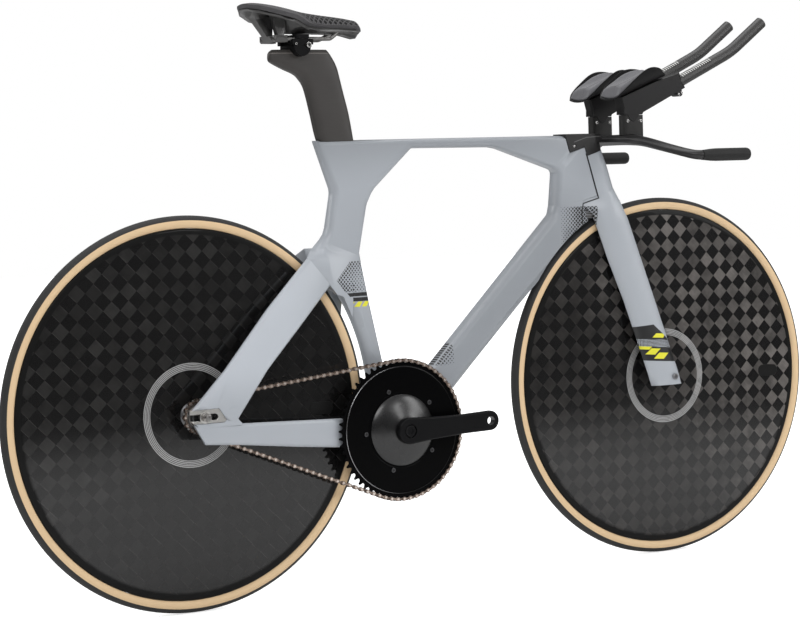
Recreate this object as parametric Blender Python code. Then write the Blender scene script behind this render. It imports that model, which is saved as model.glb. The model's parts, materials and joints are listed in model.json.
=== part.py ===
"""Track time-trial bicycle with two disc wheels, as separate pieces.

Units are metres. The origin is the centre of the rear axle, +X points forward,
+Y to the rider's left and +Z up. The ground is one tyre radius below the origin.
"""

from math import asin, atan2, ceil, cos, hypot, pi, radians, sin, sqrt

import bmesh
import bpy
from mathutils import Vector

# Fits
GAP = 0.0003  # between pieces that touch
RUNNING = 0.0005  # radial room of turning pieces, which are faceted

# Wheels
WHEELBASE = 0.983
TYRE_RADIUS = 0.334
TYRE_WIDTH = 0.024
WHEEL_FACETS = 40
RIM_WIDTH = 0.021
RIM_DEPTH = 0.004
DISC_HUB_WIDTH = 0.030
HUB_SHELL_RADIUS = 0.014
REAR_AXLE_RADIUS = 0.005
FRONT_AXLE_RADIUS = 0.006
REAR_SPACING = 0.120
FRONT_SPACING = 0.074
VALVE_COVER_RADIUS = 0.011
VALVE_COVER_OFFSET = TYRE_RADIUS - 0.049

# Drivetrain
PITCH = 0.0127
RING_TEETH = 60
COG_TEETH = 13
CHAIN_LINKS = 100
CHAIN_LINE = 0.0435
ROLLER_RADIUS = 0.0036
PLATE_HALF_HEIGHT = 0.0041
PLATE_THICKNESS = 0.0018
CHAIN_INNER_WIDTH = 0.0040
TOOTH_THICKNESS = 0.0024
TOOTH_HEIGHT = 0.0036
RING_COVER_RADIUS = 0.113
DOME_RADIUS = 0.0625
BOLT_CIRCLE_RADIUS = 0.072
RING_BOLTS = 5
CRANK_LENGTH = 0.165
CRANK_ANGLE = radians(2.0)
CRANK_BOSS_RADIUS = 0.021
CRANK_END_RADIUS = 0.0175
CRANK_THICKNESS = 0.013
CRANK_OUTER = 0.0775
PEDAL_BORE_RADIUS = 0.0072
SPINDLE_RADIUS = 0.012
CRANK_BOLT_RADIUS = 0.0105

# Frame
BB_DROP = 0.053
BB_WIDTH = 0.068
BB_BORE_RADIUS = 0.0205
TOP_TUBE_HEIGHT = 0.454
SEAT_TOP_X = 0.264
SEAT_ANGLE = radians(76.0)
SEAT_TUBE_HALF = 0.015
TOP_TUBE_HALF = 0.016
DOWN_TUBE_HALF = 0.019
STAY_SHOULDER_HALF = 0.034
STAY_END_HALF = 0.0675
STAY_WALL = 0.010
REAR_TYRE_ROOM = 0.010
FRONT_TYRE_ROOM = 0.008
TYRE_SIDE_ROOM = 0.007
TRACK_END_THICKNESS = 0.006
SLOT_END = 0.024

# Steering
HEAD_ANGLE = radians(73.5)
FORK_RAKE = 0.045
STEERING_LIMIT = radians(15)
CROWN_OVER_TYRE = 0.0083
NOTCH_DEPTH = 0.0225  # of the stem's seat, below the top tube
BLADE_LENGTH = 0.076
HEAD_RADIUS = 0.020
HEAD_BORE_RADIUS = 0.0173
STEERER_RADIUS = 0.0127
BEARING_HEIGHT = 0.008
TURNING_RADIUS = 0.0386  # rear of the fork crown and of the stem
BLADE_HALF = 0.0212
BLADE_NOSE = 0.047
LEG_THICKNESS = 0.0135
LEG_TIP_THICKNESS = 0.0090

# Cockpit
BAR_HEIGHT = TOP_TUBE_HEIGHT - 0.0105
BAR_CENTRE_CHORD = 0.055
BAR_SETBACK = 0.0523  # from the steering axis at bar height to the bar's rear edge
BAR_HALF_WIDTH = 0.188
BAR_HALF_HEIGHT = 0.0105
GRIP_DROP = 0.0325
GRIP_REACH = 0.1655
GRIP_RADIUS = 0.0115
GRIP_CORE_RADIUS = 0.0095
GRIP_LENGTH = 0.096
ARM_HALF_SPACING = 0.049
RISER_LENGTH = 0.041
RISER_WIDTH = 0.022
RISER_HEIGHT = 0.0345
EXTENSION_RADIUS = 0.0111
EXTENSION_ANGLE = radians(24.5)
EXTENSION_TIP_ANGLE = radians(36.3)
EXTENSION_STRAIGHT = 0.225
EXTENSION_TIP = 0.094
BRACKET_WALL = 0.0028
CUP_LENGTH = 0.122
CUP_HALF_WIDTH = 0.040
CUP_WALL = 0.0025
CUP_SLOPE = radians(20.0)
PAD_THICKNESS = 0.010
CUP_RISE = 0.034

# Saddle
POST_CHORD = 0.0655
POST_HALF = 0.0115
POST_RISE = 0.156
POST_INSERTION = 0.072
POST_HEAD_LENGTH = 0.116
SADDLE_LENGTH = 0.226
SADDLE_HALF_WIDTH = 0.066
SADDLE_NOSE_HALF = 0.020
SADDLE_SETBACK = 0.046  # from the seatpost head's rear to the saddle's tail
SADDLE_PAD_THICKNESS = 0.008
SADDLE_SHELL_THICKNESS = 0.004
KEEL_HALF_WIDTH = 0.026
RAIL_RADIUS = 0.0035
RAIL_HALF_SPACING = 0.022
RAIL_HEIGHT = 0.0175  # above the seatpost's head

# Places worked out from the sizes above


def chain_centres():
    """Distance between crank and rear axle at which the chain takes whole links."""
    ring, cog = ring_pitch_radius(), cog_pitch_radius()
    low, high = ring, 2 * CHAIN_LINKS * PITCH
    for _ in range(60):
        centres = (low + high) / 2
        lean = asin((ring - cog) / centres)
        straight = 2 * centres * cos(lean)
        wraps = RING_TEETH * (pi + 2 * lean) + COG_TEETH * (pi - 2 * lean)
        links = straight / PITCH + wraps / (2 * pi)
        low, high = (low, centres) if links > CHAIN_LINKS else (centres, high)
    return centres


def ring_pitch_radius():
    return PITCH / (2 * sin(pi / RING_TEETH))


def cog_pitch_radius():
    return PITCH / (2 * sin(pi / COG_TEETH))


CENTRES = chain_centres()
BB = Vector((sqrt(CENTRES**2 - BB_DROP**2), 0, -BB_DROP))
FRONT_AXLE = Vector((WHEELBASE, 0, 0))
AXIS_UP = Vector((-cos(HEAD_ANGLE), 0, sin(HEAD_ANGLE)))
AXIS_FORWARD = Vector((sin(HEAD_ANGLE), 0, cos(HEAD_ANGLE)))
AXIS_FOOT = FRONT_AXLE - Vector((FORK_RAKE / sin(HEAD_ANGLE), 0, 0))
# Along the steering axis, from the height of the axle
CROWN_AT = (TYRE_RADIUS + CROWN_OVER_TYRE) / sin(HEAD_ANGLE)
FLOOR_AT = (TOP_TUBE_HEIGHT - NOTCH_DEPTH) / sin(HEAD_ANGLE)
HEAD_HALF = HEAD_RADIUS * cos(STEERING_LIMIT)  # clear of the blade when it turns
SIDE = Vector((0, 1, 0))


def head(along, forward=0.0, side=0.0):
    """A point given along the steering axis, in front of it and to the left."""
    return AXIS_FOOT + AXIS_UP * along + AXIS_FORWARD * forward + SIDE * side


def axis_at_height(z):
    return AXIS_FOOT + AXIS_UP * (z / sin(HEAD_ANGLE))


# Modelling helpers


def material(name, colour, roughness, metallic=0.0):
    made = bpy.data.materials.new(name)
    made.use_nodes = True
    shader = made.node_tree.nodes["Principled BSDF"]
    shader.inputs["Base Color"].default_value = (*colour, 1.0)
    shader.inputs["Roughness"].default_value = roughness
    shader.inputs["Metallic"].default_value = metallic
    made.diffuse_color = (*colour, 1.0)
    return made


def mesh_object(name, bm, pivot=(0, 0, 0)):
    """The mesh as an object whose origin is the pivot. Shapes are drawn in place."""
    pivot = Vector(pivot)
    bmesh.ops.translate(bm, verts=bm.verts, vec=-pivot)
    bmesh.ops.recalc_face_normals(bm, faces=bm.faces)
    mesh = bpy.data.meshes.new(name)
    bm.to_mesh(mesh)
    bm.free()
    obj = bpy.data.objects.new(name, mesh)
    obj.location = pivot
    bpy.context.scene.collection.objects.link(obj)
    return obj


def piece(name, bm, mat, pivot=(0, 0, 0), sharp=35.0):
    obj = mesh_object(name, bm, pivot)
    obj.data.materials.append(mat)
    obj.data.shade_smooth()
    obj.data.set_sharp_from_angle(angle=radians(sharp))
    return obj


def helper(name, bm):
    """A shape that is only added to or cut from another."""
    obj = mesh_object(name, bm)
    obj.hide_render = True
    obj.display_type = "WIRE"
    return obj


def combine(obj, operation, *others):
    for other in others:
        modifier = obj.modifiers.new(other.name, "BOOLEAN")
        modifier.operation = operation
        modifier.object = other
        modifier.solver = "EXACT"


def fuse(obj, *others):
    combine(obj, "UNION", *others)


def cut(obj, *others):
    combine(obj, "DIFFERENCE", *others)


def loft(rings, closed=False):
    """Rings of as many points each, bridged in order and capped, or closed in a loop."""
    bm = bmesh.new()
    made = [[bm.verts.new(point) for point in ring] for ring in rings]
    pairs = list(zip(made, made[1:]))
    if closed:
        pairs.append((made[-1], made[0]))
    for near, far in pairs:
        for i in range(len(near)):
            j = (i + 1) % len(near)
            bm.faces.new((near[i], near[j], far[j], far[i]))
    if not closed:
        bm.faces.new(made[0])
        bm.faces.new(made[-1])
    return bm


def turned(profile, centre, axis, facets, phase=0.0):
    """A closed profile of (radius, distance along the axis), turned a full circle."""
    axis = Vector(axis).normalized()
    across = axis.orthogonal().normalized() if abs(axis.y) < 0.5 else Vector((0, 0, -1))
    other = axis.cross(across)
    rings = []
    for i in range(facets):
        angle = 2 * pi * (i + 0.5) / facets + phase
        spoke = across * cos(angle) + other * sin(angle)
        rings.append([Vector(centre) + spoke * r + axis * a for r, a in profile])
    return loft(rings, closed=True)


def cylinder(radius, start, end, facets=24):
    start, end = Vector(start), Vector(end)
    axis = (end - start).normalized()
    across = axis.orthogonal().normalized() if abs(axis.y) < 0.5 else Vector((0, 0, -1))
    other = axis.cross(across)
    rings = []
    for base in (start, end):
        angles = [2 * pi * (i + 0.5) / facets for i in range(facets)]
        rings.append([base + radius * (across * cos(a) + other * sin(a)) for a in angles])
    return loft(rings)


def round_section(centre, radius, facets):
    """A ring of points round a centre, upright and across the bicycle."""
    angles = [2 * pi * k / facets for k in range(facets)]
    return [Vector(centre) + Vector((radius * cos(a), 0, radius * sin(a))) for a in angles]


def sleeve(outer, inner, start, end, facets=24):
    start, end = Vector(start), Vector(end)
    length = (end - start).length
    profile = ((outer, 0), (outer, length), (inner, length), (inner, 0))
    return turned(profile, start, end - start, facets)


def prism(outline, low, high):
    """An outline of (x, z) points between two values of y."""
    return loft([[Vector((x, y, z)) for x, z in outline] for y in (low, high)])


def smooth_path(points, steps):
    """A curve through hand-set points, which are tuples of any length (Catmull-Rom)."""
    points = [Vector(p) for p in points]
    ends = [points[0] * 2 - points[1], *points, points[-1] * 2 - points[-2]]
    path = []
    for a, b, c, d in zip(ends, ends[1:], ends[2:], ends[3:]):
        for i in range(steps):
            t = i / steps
            path.append(
                0.5 * (2 * b + (c - a) * t + (2 * a - 5 * b + 4 * c - d) * t**2
                       + (3 * b - 3 * c + d - a) * t**3)
            )
    return [*path, points[-1]]


def sweep(path, sizes, sides, power=1.0, up=(0, 0, 1)):
    """An oval swept along a path. sizes are (half width, half height) at each point."""
    rings = []
    for i, point in enumerate(path):
        ahead = (path[min(i + 1, len(path) - 1)] - path[max(i - 1, 0)]).normalized()
        across = ahead.cross(Vector(up)).normalized()
        above = across.cross(ahead)
        ring = []
        for k in range(sides):
            a = 2 * pi * (k + 0.5) / sides
            u = abs(cos(a)) ** power * (1 if cos(a) > 0 else -1)
            v = abs(sin(a)) ** power * (1 if sin(a) > 0 else -1)
            ring.append(point + across * u * sizes[i][0] + above * v * sizes[i][1])
        rings.append(ring)
    return loft(rings)


def rounded_corners(points, step=radians(22)):
    """(x, z, half width, edge, corner radius) points, with an arc at each corner."""
    done = []
    for i, (x, z, half, edge, radius) in enumerate(points):
        here = Vector((x, z))
        back = Vector(points[i - 1][:2]) - here
        ahead = Vector(points[(i + 1) % len(points)][:2]) - here
        if radius <= 0:
            done.append((x, z, half, edge))
            continue
        turn = pi - back.angle(ahead)
        reach = min(radius * sin(turn / 2) / cos(turn / 2), 0.45 * back.length, 0.45 * ahead.length)
        radius = reach * cos(turn / 2) / sin(turn / 2)
        middle = here + (back.normalized() + ahead.normalized()).normalized() * (
            hypot(radius, reach)
        )
        first, last = here + back.normalized() * reach, here + ahead.normalized() * reach
        start = atan2(first.y - middle.y, first.x - middle.x)
        sweep_by = (atan2(last.y - middle.y, last.x - middle.x) - start + pi) % (2 * pi) - pi
        count = max(1, ceil(abs(sweep_by) / step))
        for k in range(count + 1):
            a = start + sweep_by * k / count
            done.append((middle.x + radius * cos(a), middle.y + radius * sin(a), half, edge))
    return done


EDGE_STEPS = ((0.0, 0.42), (0.32, 0.84), (1.0, 1.0))  # share of the edge, of the half width


def moulded_plate(outer, holes=()):
    """A flat moulding whose edges are rounded towards its sides, with open holes.

    Each loop is a list of (x, z, half width, edge, corner radius) points.
    """
    bm = bmesh.new()
    faces_to_fill = {1: [], -1: []}
    for is_hole, loop in [(False, outer), *((True, hole) for hole in holes)]:
        loop = rounded_corners(loop)
        flat = [Vector(p[:2]) for p in loop]
        area = sum(a.x * b.y - b.x * a.y for a, b in zip(flat, flat[1:] + flat[:1]))
        if (area < 0) != is_hole:
            loop.reverse()
            flat.reverse()
        rings = []
        for share, width in EDGE_STEPS:
            inset = []
            for i, (x, z, half, edge) in enumerate(loop):
                a = (flat[i] - flat[i - 1]).normalized()
                b = (flat[(i + 1) % len(flat)] - flat[i]).normalized()
                inward = Vector((-a.y - b.y, a.x + b.x))
                inward *= 2 / max(inward.length_squared, 1.0)
                inset.append((flat[i] + inward * edge * share, half * width))
            rings.append(inset)
        sides = {}
        for side in (1, -1):
            sides[side] = [
                [bm.verts.new((p.x, side * y, p.y)) for p, y in ring] for ring in rings
            ]
        strips = sides[1][::-1] + sides[-1]
        for near, far in zip(strips, strips[1:]):
            for i in range(len(near)):
                j = (i + 1) % len(near)
                bm.faces.new((near[i], near[j], far[j], far[i]))
        for side in (1, -1):
            last = sides[side][-1]
            faces_to_fill[side] += [
                bm.edges.get((last[i], last[(i + 1) % len(last)])) for i in range(len(last))
            ]
    for edges in faces_to_fill.values():
        bmesh.ops.triangle_fill(bm, use_beauty=True, edges=edges)
    return bm


def mirrored(points):
    return [Vector((p.x, -p.y, p.z)) for p in points]


for old in list(bpy.data.objects):
    bpy.data.objects.remove(old, do_unlink=True)

PAINT = material("grey_paint", (0.50, 0.53, 0.58), 0.35)
BLACK_CARBON = material("black_carbon", (0.015, 0.015, 0.016), 0.18)
SATIN_BLACK = material("satin_black", (0.02, 0.02, 0.021), 0.42)
POST_FINISH = material("matte_carbon", (0.055, 0.050, 0.047), 0.55)
RUBBER = material("tyre_rubber", (0.02, 0.02, 0.02), 0.8)
FOAM = material("foam", (0.06, 0.06, 0.065), 0.9)
STEEL = material("steel", (0.62, 0.60, 0.58), 0.3, 1.0)
CHAIN_STEEL = material("chain_steel", (0.62, 0.55, 0.48), 0.35, 1.0)
ALUMINIUM = material("aluminium", (0.75, 0.75, 0.74), 0.35, 1.0)

# Wheels

TREAD_HALF = 0.15 * TYRE_WIDTH
TYRE_MIDDLE = TYRE_RADIUS - TYRE_WIDTH / 2
RIM_RADIUS = TYRE_MIDDLE - 0.40 * TYRE_WIDTH
ROUNDING = 1 / cos(pi / WHEEL_FACETS)  # puts the middle of each facet on the radius


def wheel_turned(name, profile, centre, mat):
    profile = [(r * ROUNDING, a) for r, a in profile]
    bm = turned(profile, centre, SIDE, WHEEL_FACETS)
    return piece(name, bm, mat, pivot=centre)


def tyre(name, centre):
    half = TYRE_WIDTH / 2
    right = [(TYRE_RADIUS, TREAD_HALF)]
    for angle in (62, 102, 140):
        a = radians(angle)
        right.append((TYRE_MIDDLE + half * cos(a), half * sin(a)))
    profile = right + [(r, -y) for r, y in reversed(right)]
    return wheel_turned(name, profile, centre, RUBBER)


def disc(name, centre):
    seat = TYRE_WIDTH / 2 * sin(radians(140))
    bed = TYRE_MIDDLE + TYRE_WIDTH / 2 * cos(radians(140)) - GAP
    right = [
        (bed, seat - GAP),
        (bed - RIM_DEPTH, RIM_WIDTH / 2),
        (2 * HUB_SHELL_RADIUS, DISC_HUB_WIDTH / 2 - 0.001),
        (HUB_SHELL_RADIUS + GAP, DISC_HUB_WIDTH / 2),
    ]
    profile = right + [(r, -y) for r, y in reversed(right)]
    return wheel_turned(name, profile, centre, BLACK_CARBON)


def valve_cover(name, centre, angle):
    """The snap-in cover over the valve hatch, proud of the disc's face."""
    spoke = Vector((cos(angle), 0, sin(angle)))
    share = (VALVE_COVER_OFFSET - HUB_SHELL_RADIUS * 2) / (RIM_RADIUS - HUB_SHELL_RADIUS * 2)
    face = DISC_HUB_WIDTH / 2 + (RIM_WIDTH - DISC_HUB_WIDTH) / 2 * share
    middle = Vector(centre) + spoke * VALVE_COVER_OFFSET
    start = middle - SIDE * (face + GAP)
    return piece(
        name, cylinder(VALVE_COVER_RADIUS, start, start - SIDE * 0.0012, 20), RUBBER, centre
    )


def hub(name, centre, axle_radius, spans):
    """The hub shell. spans are (radius, y) steps of its outside, right to left."""
    bore = axle_radius + RUNNING
    profile = [*spans, (bore, spans[-1][1]), (bore, spans[0][1])]
    return piece(name, turned(profile, centre, SIDE, 16), ALUMINIUM, centre)


CHAIN_PLANE = -CHAIN_LINE
REAR_HALF = REAR_SPACING / 2
COG_SEAT_RADIUS = 0.0165
COG_BODY_HALF = 0.0035
FLANGE_RADIUS = 0.022
DISC_SHOULDER = DISC_HUB_WIDTH / 2 + GAP


def rear_wheel():
    centre = (0, 0, 0)
    tyre("rear_tyre", centre)
    disc("rear_disc", centre)
    valve_cover("rear_valve_cover", centre, radians(5))
    ring_end = CHAIN_PLANE - COG_BODY_HALF - 0.005
    hub("rear_hub", centre, REAR_AXLE_RADIUS, [
        (COG_SEAT_RADIUS, ring_end),
        (COG_SEAT_RADIUS, CHAIN_PLANE + COG_BODY_HALF + GAP),
        (FLANGE_RADIUS, CHAIN_PLANE + COG_BODY_HALF + GAP),
        (FLANGE_RADIUS, -DISC_SHOULDER),
        (HUB_SHELL_RADIUS, -DISC_SHOULDER),
        (HUB_SHELL_RADIUS, REAR_HALF - 0.006),
    ])
    profile = [
        (COG_SEAT_RADIUS + GAP, CHAIN_PLANE - COG_BODY_HALF - 0.0045),
        (COG_SEAT_RADIUS + 0.003, CHAIN_PLANE - COG_BODY_HALF - 0.0045),
        (COG_SEAT_RADIUS + 0.003, CHAIN_PLANE - COG_BODY_HALF - GAP),
        (COG_SEAT_RADIUS + GAP, CHAIN_PLANE - COG_BODY_HALF - GAP),
    ]
    piece("lockring", turned(profile, centre, SIDE, 20), STEEL)


def rear_axle():
    """The axle with its cones, and a nut and captive washer on each end."""
    end = REAR_HALF + TRACK_END_THICKNESS + 0.014
    axle, cone = REAR_AXLE_RADIUS, REAR_AXLE_RADIUS + 0.0035
    outer, inner = REAR_HALF - 2 * GAP, REAR_HALF - 0.005
    half = [(axle, -end), (axle, -outer), (cone, -outer), (cone, -inner), (axle, -inner)]
    outline = half + [(radius, -y) for radius, y in reversed(half)]
    rings = [round_section((0, y, 0), radius, 12) for radius, y in outline]
    piece("rear_axle", loft(rings), STEEL)
    face = REAR_HALF + TRACK_END_THICKNESS + GAP
    bore = REAR_AXLE_RADIUS + GAP
    for side, name in ((-1, "rear_axle_nut_right"), (1, "rear_axle_nut_left")):
        steps = [
            (0.0100, 0), (0.0100, 0.0016), (0.0078, 0.0018),
            (0.0078, 0.0080), (0.0066, 0.0092), (bore, 0.0092), (bore, 0),
        ]
        profile = [(a, side * (face + y)) for a, y in steps]
        piece(name, turned(profile, (0, 0, 0), SIDE, 12), STEEL)


FRONT_HALF = FRONT_SPACING / 2
LEG_TIP_OUTER = FRONT_HALF + LEG_TIP_THICKNESS


def front_wheel():
    tyre("front_tyre", FRONT_AXLE)
    disc("front_disc", FRONT_AXLE)
    valve_cover("front_valve_cover", FRONT_AXLE, radians(3))
    hub("front_hub", FRONT_AXLE, FRONT_AXLE_RADIUS, [
        (HUB_SHELL_RADIUS, -FRONT_HALF + 0.004),
        (HUB_SHELL_RADIUS, FRONT_HALF - 0.004),
    ])


def front_axle():
    """The axle between the fork tips, and the bolt that holds each end."""
    profile = []
    for y in (-1, 1):
        profile.append((FRONT_AXLE_RADIUS, y * (FRONT_HALF - GAP)))
    bore = 0.0032
    profile += [(bore, FRONT_HALF - GAP), (bore, -FRONT_HALF + GAP)]
    piece("front_axle", turned(profile, FRONT_AXLE, SIDE, 16), STEEL, FRONT_AXLE)
    for side, name in ((-1, "front_axle_bolt_right"), (1, "front_axle_bolt_left")):
        steps = (
            (0.0029, FRONT_HALF - 0.012), (0.0029, LEG_TIP_OUTER + GAP),
            (0.0058, LEG_TIP_OUTER + GAP), (0.0058, LEG_TIP_OUTER + 0.0020),
            (0.0040, LEG_TIP_OUTER + 0.0030),
        )
        rings = [round_section(FRONT_AXLE + SIDE * side * y, a, 12) for a, y in steps]
        piece(name, loft(rings), STEEL, FRONT_AXLE)


# Drivetrain


def tooth_outline(teeth, radius, first_gap):
    """(x, z) points round a sprocket: a root for each roller and a blunt tip between."""
    points = []
    for i in range(teeth):
        gap = first_gap + 2 * pi * i / teeth
        step = pi / teeth
        seat = (ROLLER_RADIUS + GAP) / radius
        root = radius - ROLLER_RADIUS - GAP
        points.append((root, gap - 0.62 * seat))
        points.append((root, gap + 0.62 * seat))
        points.append((radius + TOOTH_HEIGHT, gap + step - 0.16 * step))
        points.append((radius + TOOTH_HEIGHT, gap + step + 0.16 * step))
    return [(r * cos(a), r * sin(a)) for r, a in points]


def chain_route():
    """The pins of the chain in order, as (x, z, way along it), and where it meets the ring."""
    ring, cog = ring_pitch_radius(), cog_pitch_radius()
    line = atan2(BB.z, BB.x)  # from the rear axle to the crank
    lean = asin((ring - cog) / CENTRES)
    straight = CENTRES * cos(lean)
    upper = line + pi / 2 + lean
    lower = line - pi / 2 - lean
    top_ring = (BB.x + ring * cos(upper), BB.z + ring * sin(upper))
    ring_arc, cog_arc = ring * (pi + 2 * lean), cog * (pi - 2 * lean)
    # the pins on the ring follow its pitch arcs, so distances there are arc lengths
    scale_ring = 2 * pi * ring / RING_TEETH
    scale_cog = 2 * pi * cog / COG_TEETH
    pins = []
    for left in range(CHAIN_LINKS):  # links from the point where the chain meets the ring
        on_ring = ring_arc / scale_ring
        if left <= on_ring:
            a = upper - left * 2 * pi / RING_TEETH
            pins.append((BB.x + ring * cos(a), BB.z + ring * sin(a), a - pi / 2))
            continue
        left -= on_ring
        if left <= straight / PITCH:
            a = lower
            start = (BB.x + ring * cos(a), BB.z + ring * sin(a))
            way = a - pi / 2
            d = left * PITCH
            pins.append((start[0] + d * cos(way), start[1] + d * sin(way), way))
            continue
        left -= straight / PITCH
        if left <= cog_arc / scale_cog:
            a = lower - left * 2 * pi / COG_TEETH
            pins.append((cog * cos(a), cog * sin(a), a - pi / 2))
            continue
        left -= cog_arc / scale_cog
        way = upper - pi / 2
        d = straight - left * PITCH
        pins.append((top_ring[0] - d * cos(way), top_ring[1] - d * sin(way), way))
    return pins, upper


def cog_gap_angle(pins):
    """The angle of a pin that lies on the cog."""
    x, z, _ = min(pins, key=lambda pin: pin[0])
    return atan2(z, x)


def chain(pins):
    """Side plates on both sides, joined by a roller at each pin."""
    bm = bmesh.new()
    inner = CHAIN_INNER_WIDTH / 2
    layers = [
        (CHAIN_PLANE - inner - PLATE_THICKNESS, CHAIN_PLANE - inner),
        (CHAIN_PLANE + inner + PLATE_THICKNESS, CHAIN_PLANE + inner),
    ]
    rollers = []
    for outer_y, inner_y in layers:
        rows, squares = [], []
        for x, z, way in pins:
            ahead = Vector((cos(way), 0, sin(way)))
            above = Vector((-sin(way), 0, cos(way)))
            middle = Vector((x, 0, z))
            rows.append([
                bm.verts.new(middle + above * height * PLATE_HALF_HEIGHT + SIDE * y)
                for height, y in ((1, outer_y), (-1, outer_y), (-1, inner_y), (1, inner_y))
            ])
            squares.append([
                bm.verts.new(middle + SIDE * inner_y + way_out * ROLLER_RADIUS)
                for way_out in (ahead, above * 0.98, -ahead, -above * 0.98)
            ])
        for i, (near, square) in enumerate(zip(rows, squares)):
            after = (i + 1) % len(pins)
            far, next_square = rows[after], squares[after]
            bm.faces.new((near[0], near[1], far[1], far[0]))
            bm.faces.new((near[1], near[2], far[2], far[1]))
            bm.faces.new((near[3], near[0], far[0], far[3]))
            right, top, _, bottom = square
            _, next_top, next_left, next_bottom = next_square
            bm.faces.new((near[3], far[3], next_top, next_left, right, top))
            bm.faces.new((far[2], near[2], bottom, right, next_left, next_bottom))
        rollers.append(squares)
    for near, far in zip(*rollers):
        for i in range(4):
            j = (i + 1) % 4
            bm.faces.new((near[i], near[j], far[j], far[i]))
    piece("chain", bm, CHAIN_STEEL)


def drivetrain():
    pins, upper = chain_route()
    chain(pins)
    half = TOOTH_THICKNESS / 2
    front, back = CHAIN_PLANE - half, CHAIN_PLANE + half

    outline = tooth_outline(COG_TEETH, cog_pitch_radius(), cog_gap_angle(pins))
    cog = piece("cog", prism(outline, front, back), STEEL)
    body = sleeve(
        COG_SEAT_RADIUS + 0.003, COG_SEAT_RADIUS - 0.004,
        (0, CHAIN_PLANE - COG_BODY_HALF, 0), (0, CHAIN_PLANE + COG_BODY_HALF, 0), 20,
    )
    bore = cylinder(COG_SEAT_RADIUS + GAP, (0, -REAR_HALF, 0), (0, 0, 0), 20)
    fuse(cog, helper("cog_body", body))
    cut(cog, helper("cog_bore", bore))

    outline = tooth_outline(RING_TEETH, ring_pitch_radius(), upper)
    outline = [(BB.x + x, BB.z + z) for x, z in outline]
    ring = piece("chainring", prism(outline, front, back), BLACK_CARBON, BB)
    cover_face = front - 0.0018
    cover = cylinder(
        RING_COVER_RADIUS, (BB.x, cover_face, BB.z), (BB.x, back - 0.0004, BB.z), 40
    )
    fuse(ring, helper("ring_cover", cover))
    for i in range(RING_BOLTS):
        a = CRANK_ANGLE + pi / RING_BOLTS + 2 * pi * i / RING_BOLTS
        x, z = BB.x + BOLT_CIRCLE_RADIUS * cos(a), BB.z + BOLT_CIRCLE_RADIUS * sin(a)
        bolt = cylinder(0.0042, (x, cover_face - 0.0010, z), (x, back + 0.0012, z), 8)
        fuse(ring, helper(f"ring_bolt_{i}", bolt))
    eye = cylinder(
        SPINDLE_RADIUS + 0.010 + GAP, (BB.x, cover_face - 0.01, BB.z), (BB.x, 0, BB.z), 24
    )
    cut(ring, helper("ring_eye", eye))

    arm_inner = CRANK_OUTER - CRANK_THICKNESS
    dome_back = cover_face - GAP
    profile = [
        (SPINDLE_RADIUS + GAP, dome_back + 0.0045), (SPINDLE_RADIUS + 0.010, dome_back + 0.0045),
        (SPINDLE_RADIUS + 0.010, dome_back), (DOME_RADIUS, dome_back),
        (DOME_RADIUS - 0.001, dome_back - 0.0016), (0.76 * DOME_RADIUS, dome_back - 0.0075),
        (0.50 * DOME_RADIUS, dome_back - 0.0125), (CRANK_BOSS_RADIUS - 0.002, -arm_inner + GAP),
        (SPINDLE_RADIUS + GAP, -arm_inner + GAP),
    ]
    centre = (BB.x, 0, BB.z)
    piece("chainring_spider", turned(profile, centre, SIDE, 28), SATIN_BLACK, BB)

    end = CRANK_OUTER - 0.002
    spindle = cylinder(SPINDLE_RADIUS, (BB.x, -end, BB.z), (BB.x, end, BB.z), 20)
    piece("crank_spindle", spindle, STEEL, BB)
    for side, name in ((-1, "crank_arm_right"), (1, "crank_arm_left")):
        crank_arm(name, side, arm_inner)
    bolt = cylinder(
        CRANK_BOLT_RADIUS, (BB.x, -end - GAP, BB.z), (BB.x, -CRANK_OUTER - 0.001, BB.z), 16
    )
    piece("crank_bolt", bolt, STEEL, BB)


def crank_arm(name, side, inner):
    """A deep flat arm, rounded at both ends, that thins towards its edges."""
    turn = CRANK_ANGLE if side < 0 else CRANK_ANGLE + pi
    rings = []
    steps = 7
    outline = []
    for k in range(steps + 1):
        a = pi / 2 + pi * k / steps
        outline.append((CRANK_BOSS_RADIUS * cos(a), CRANK_BOSS_RADIUS * sin(a)))
    for k in range(steps + 1):
        a = -pi / 2 + pi * k / steps
        outline.append((
            CRANK_LENGTH + CRANK_END_RADIUS * cos(a), CRANK_END_RADIUS * sin(a)
        ))
    for y, shrink in ((inner, 0.0025), (inner + 0.003, 0), (CRANK_OUTER - 0.003, 0),
                      (CRANK_OUTER, 0.0028)):
        ring = []
        for x, z in outline:
            middle = 0 if x < CRANK_LENGTH / 2 else CRANK_LENGTH
            out = hypot(x - middle, z)
            k = (out - shrink) / out
            px, pz = middle + (x - middle) * k, z * k
            ring.append(Vector((
                BB.x + px * cos(turn) - pz * sin(turn), side * y,
                BB.z + px * sin(turn) + pz * cos(turn),
            )))
        rings.append(ring)
    arm = piece(name, loft(rings), SATIN_BLACK, BB)
    end = BB + Vector((CRANK_LENGTH * cos(turn), 0, CRANK_LENGTH * sin(turn)))
    out = SIDE * side
    bore = cylinder(PEDAL_BORE_RADIUS, end + out * 0.05, end + out * 0.10, 20)
    socket = cylinder(
        SPINDLE_RADIUS + GAP, BB + out * 0.05, BB + out * (CRANK_OUTER - 0.0017), 20
    )
    cut(arm, helper(f"{name}_pedal_bore", bore), helper(f"{name}_socket", socket))
    if side < 0:
        recess = cylinder(
            CRANK_BOLT_RADIUS + GAP, BB + out * (CRANK_OUTER - 0.0025), BB + out * 0.10, 16
        )
        cut(arm, helper(f"{name}_bolt_recess", recess))


# Frame

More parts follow.
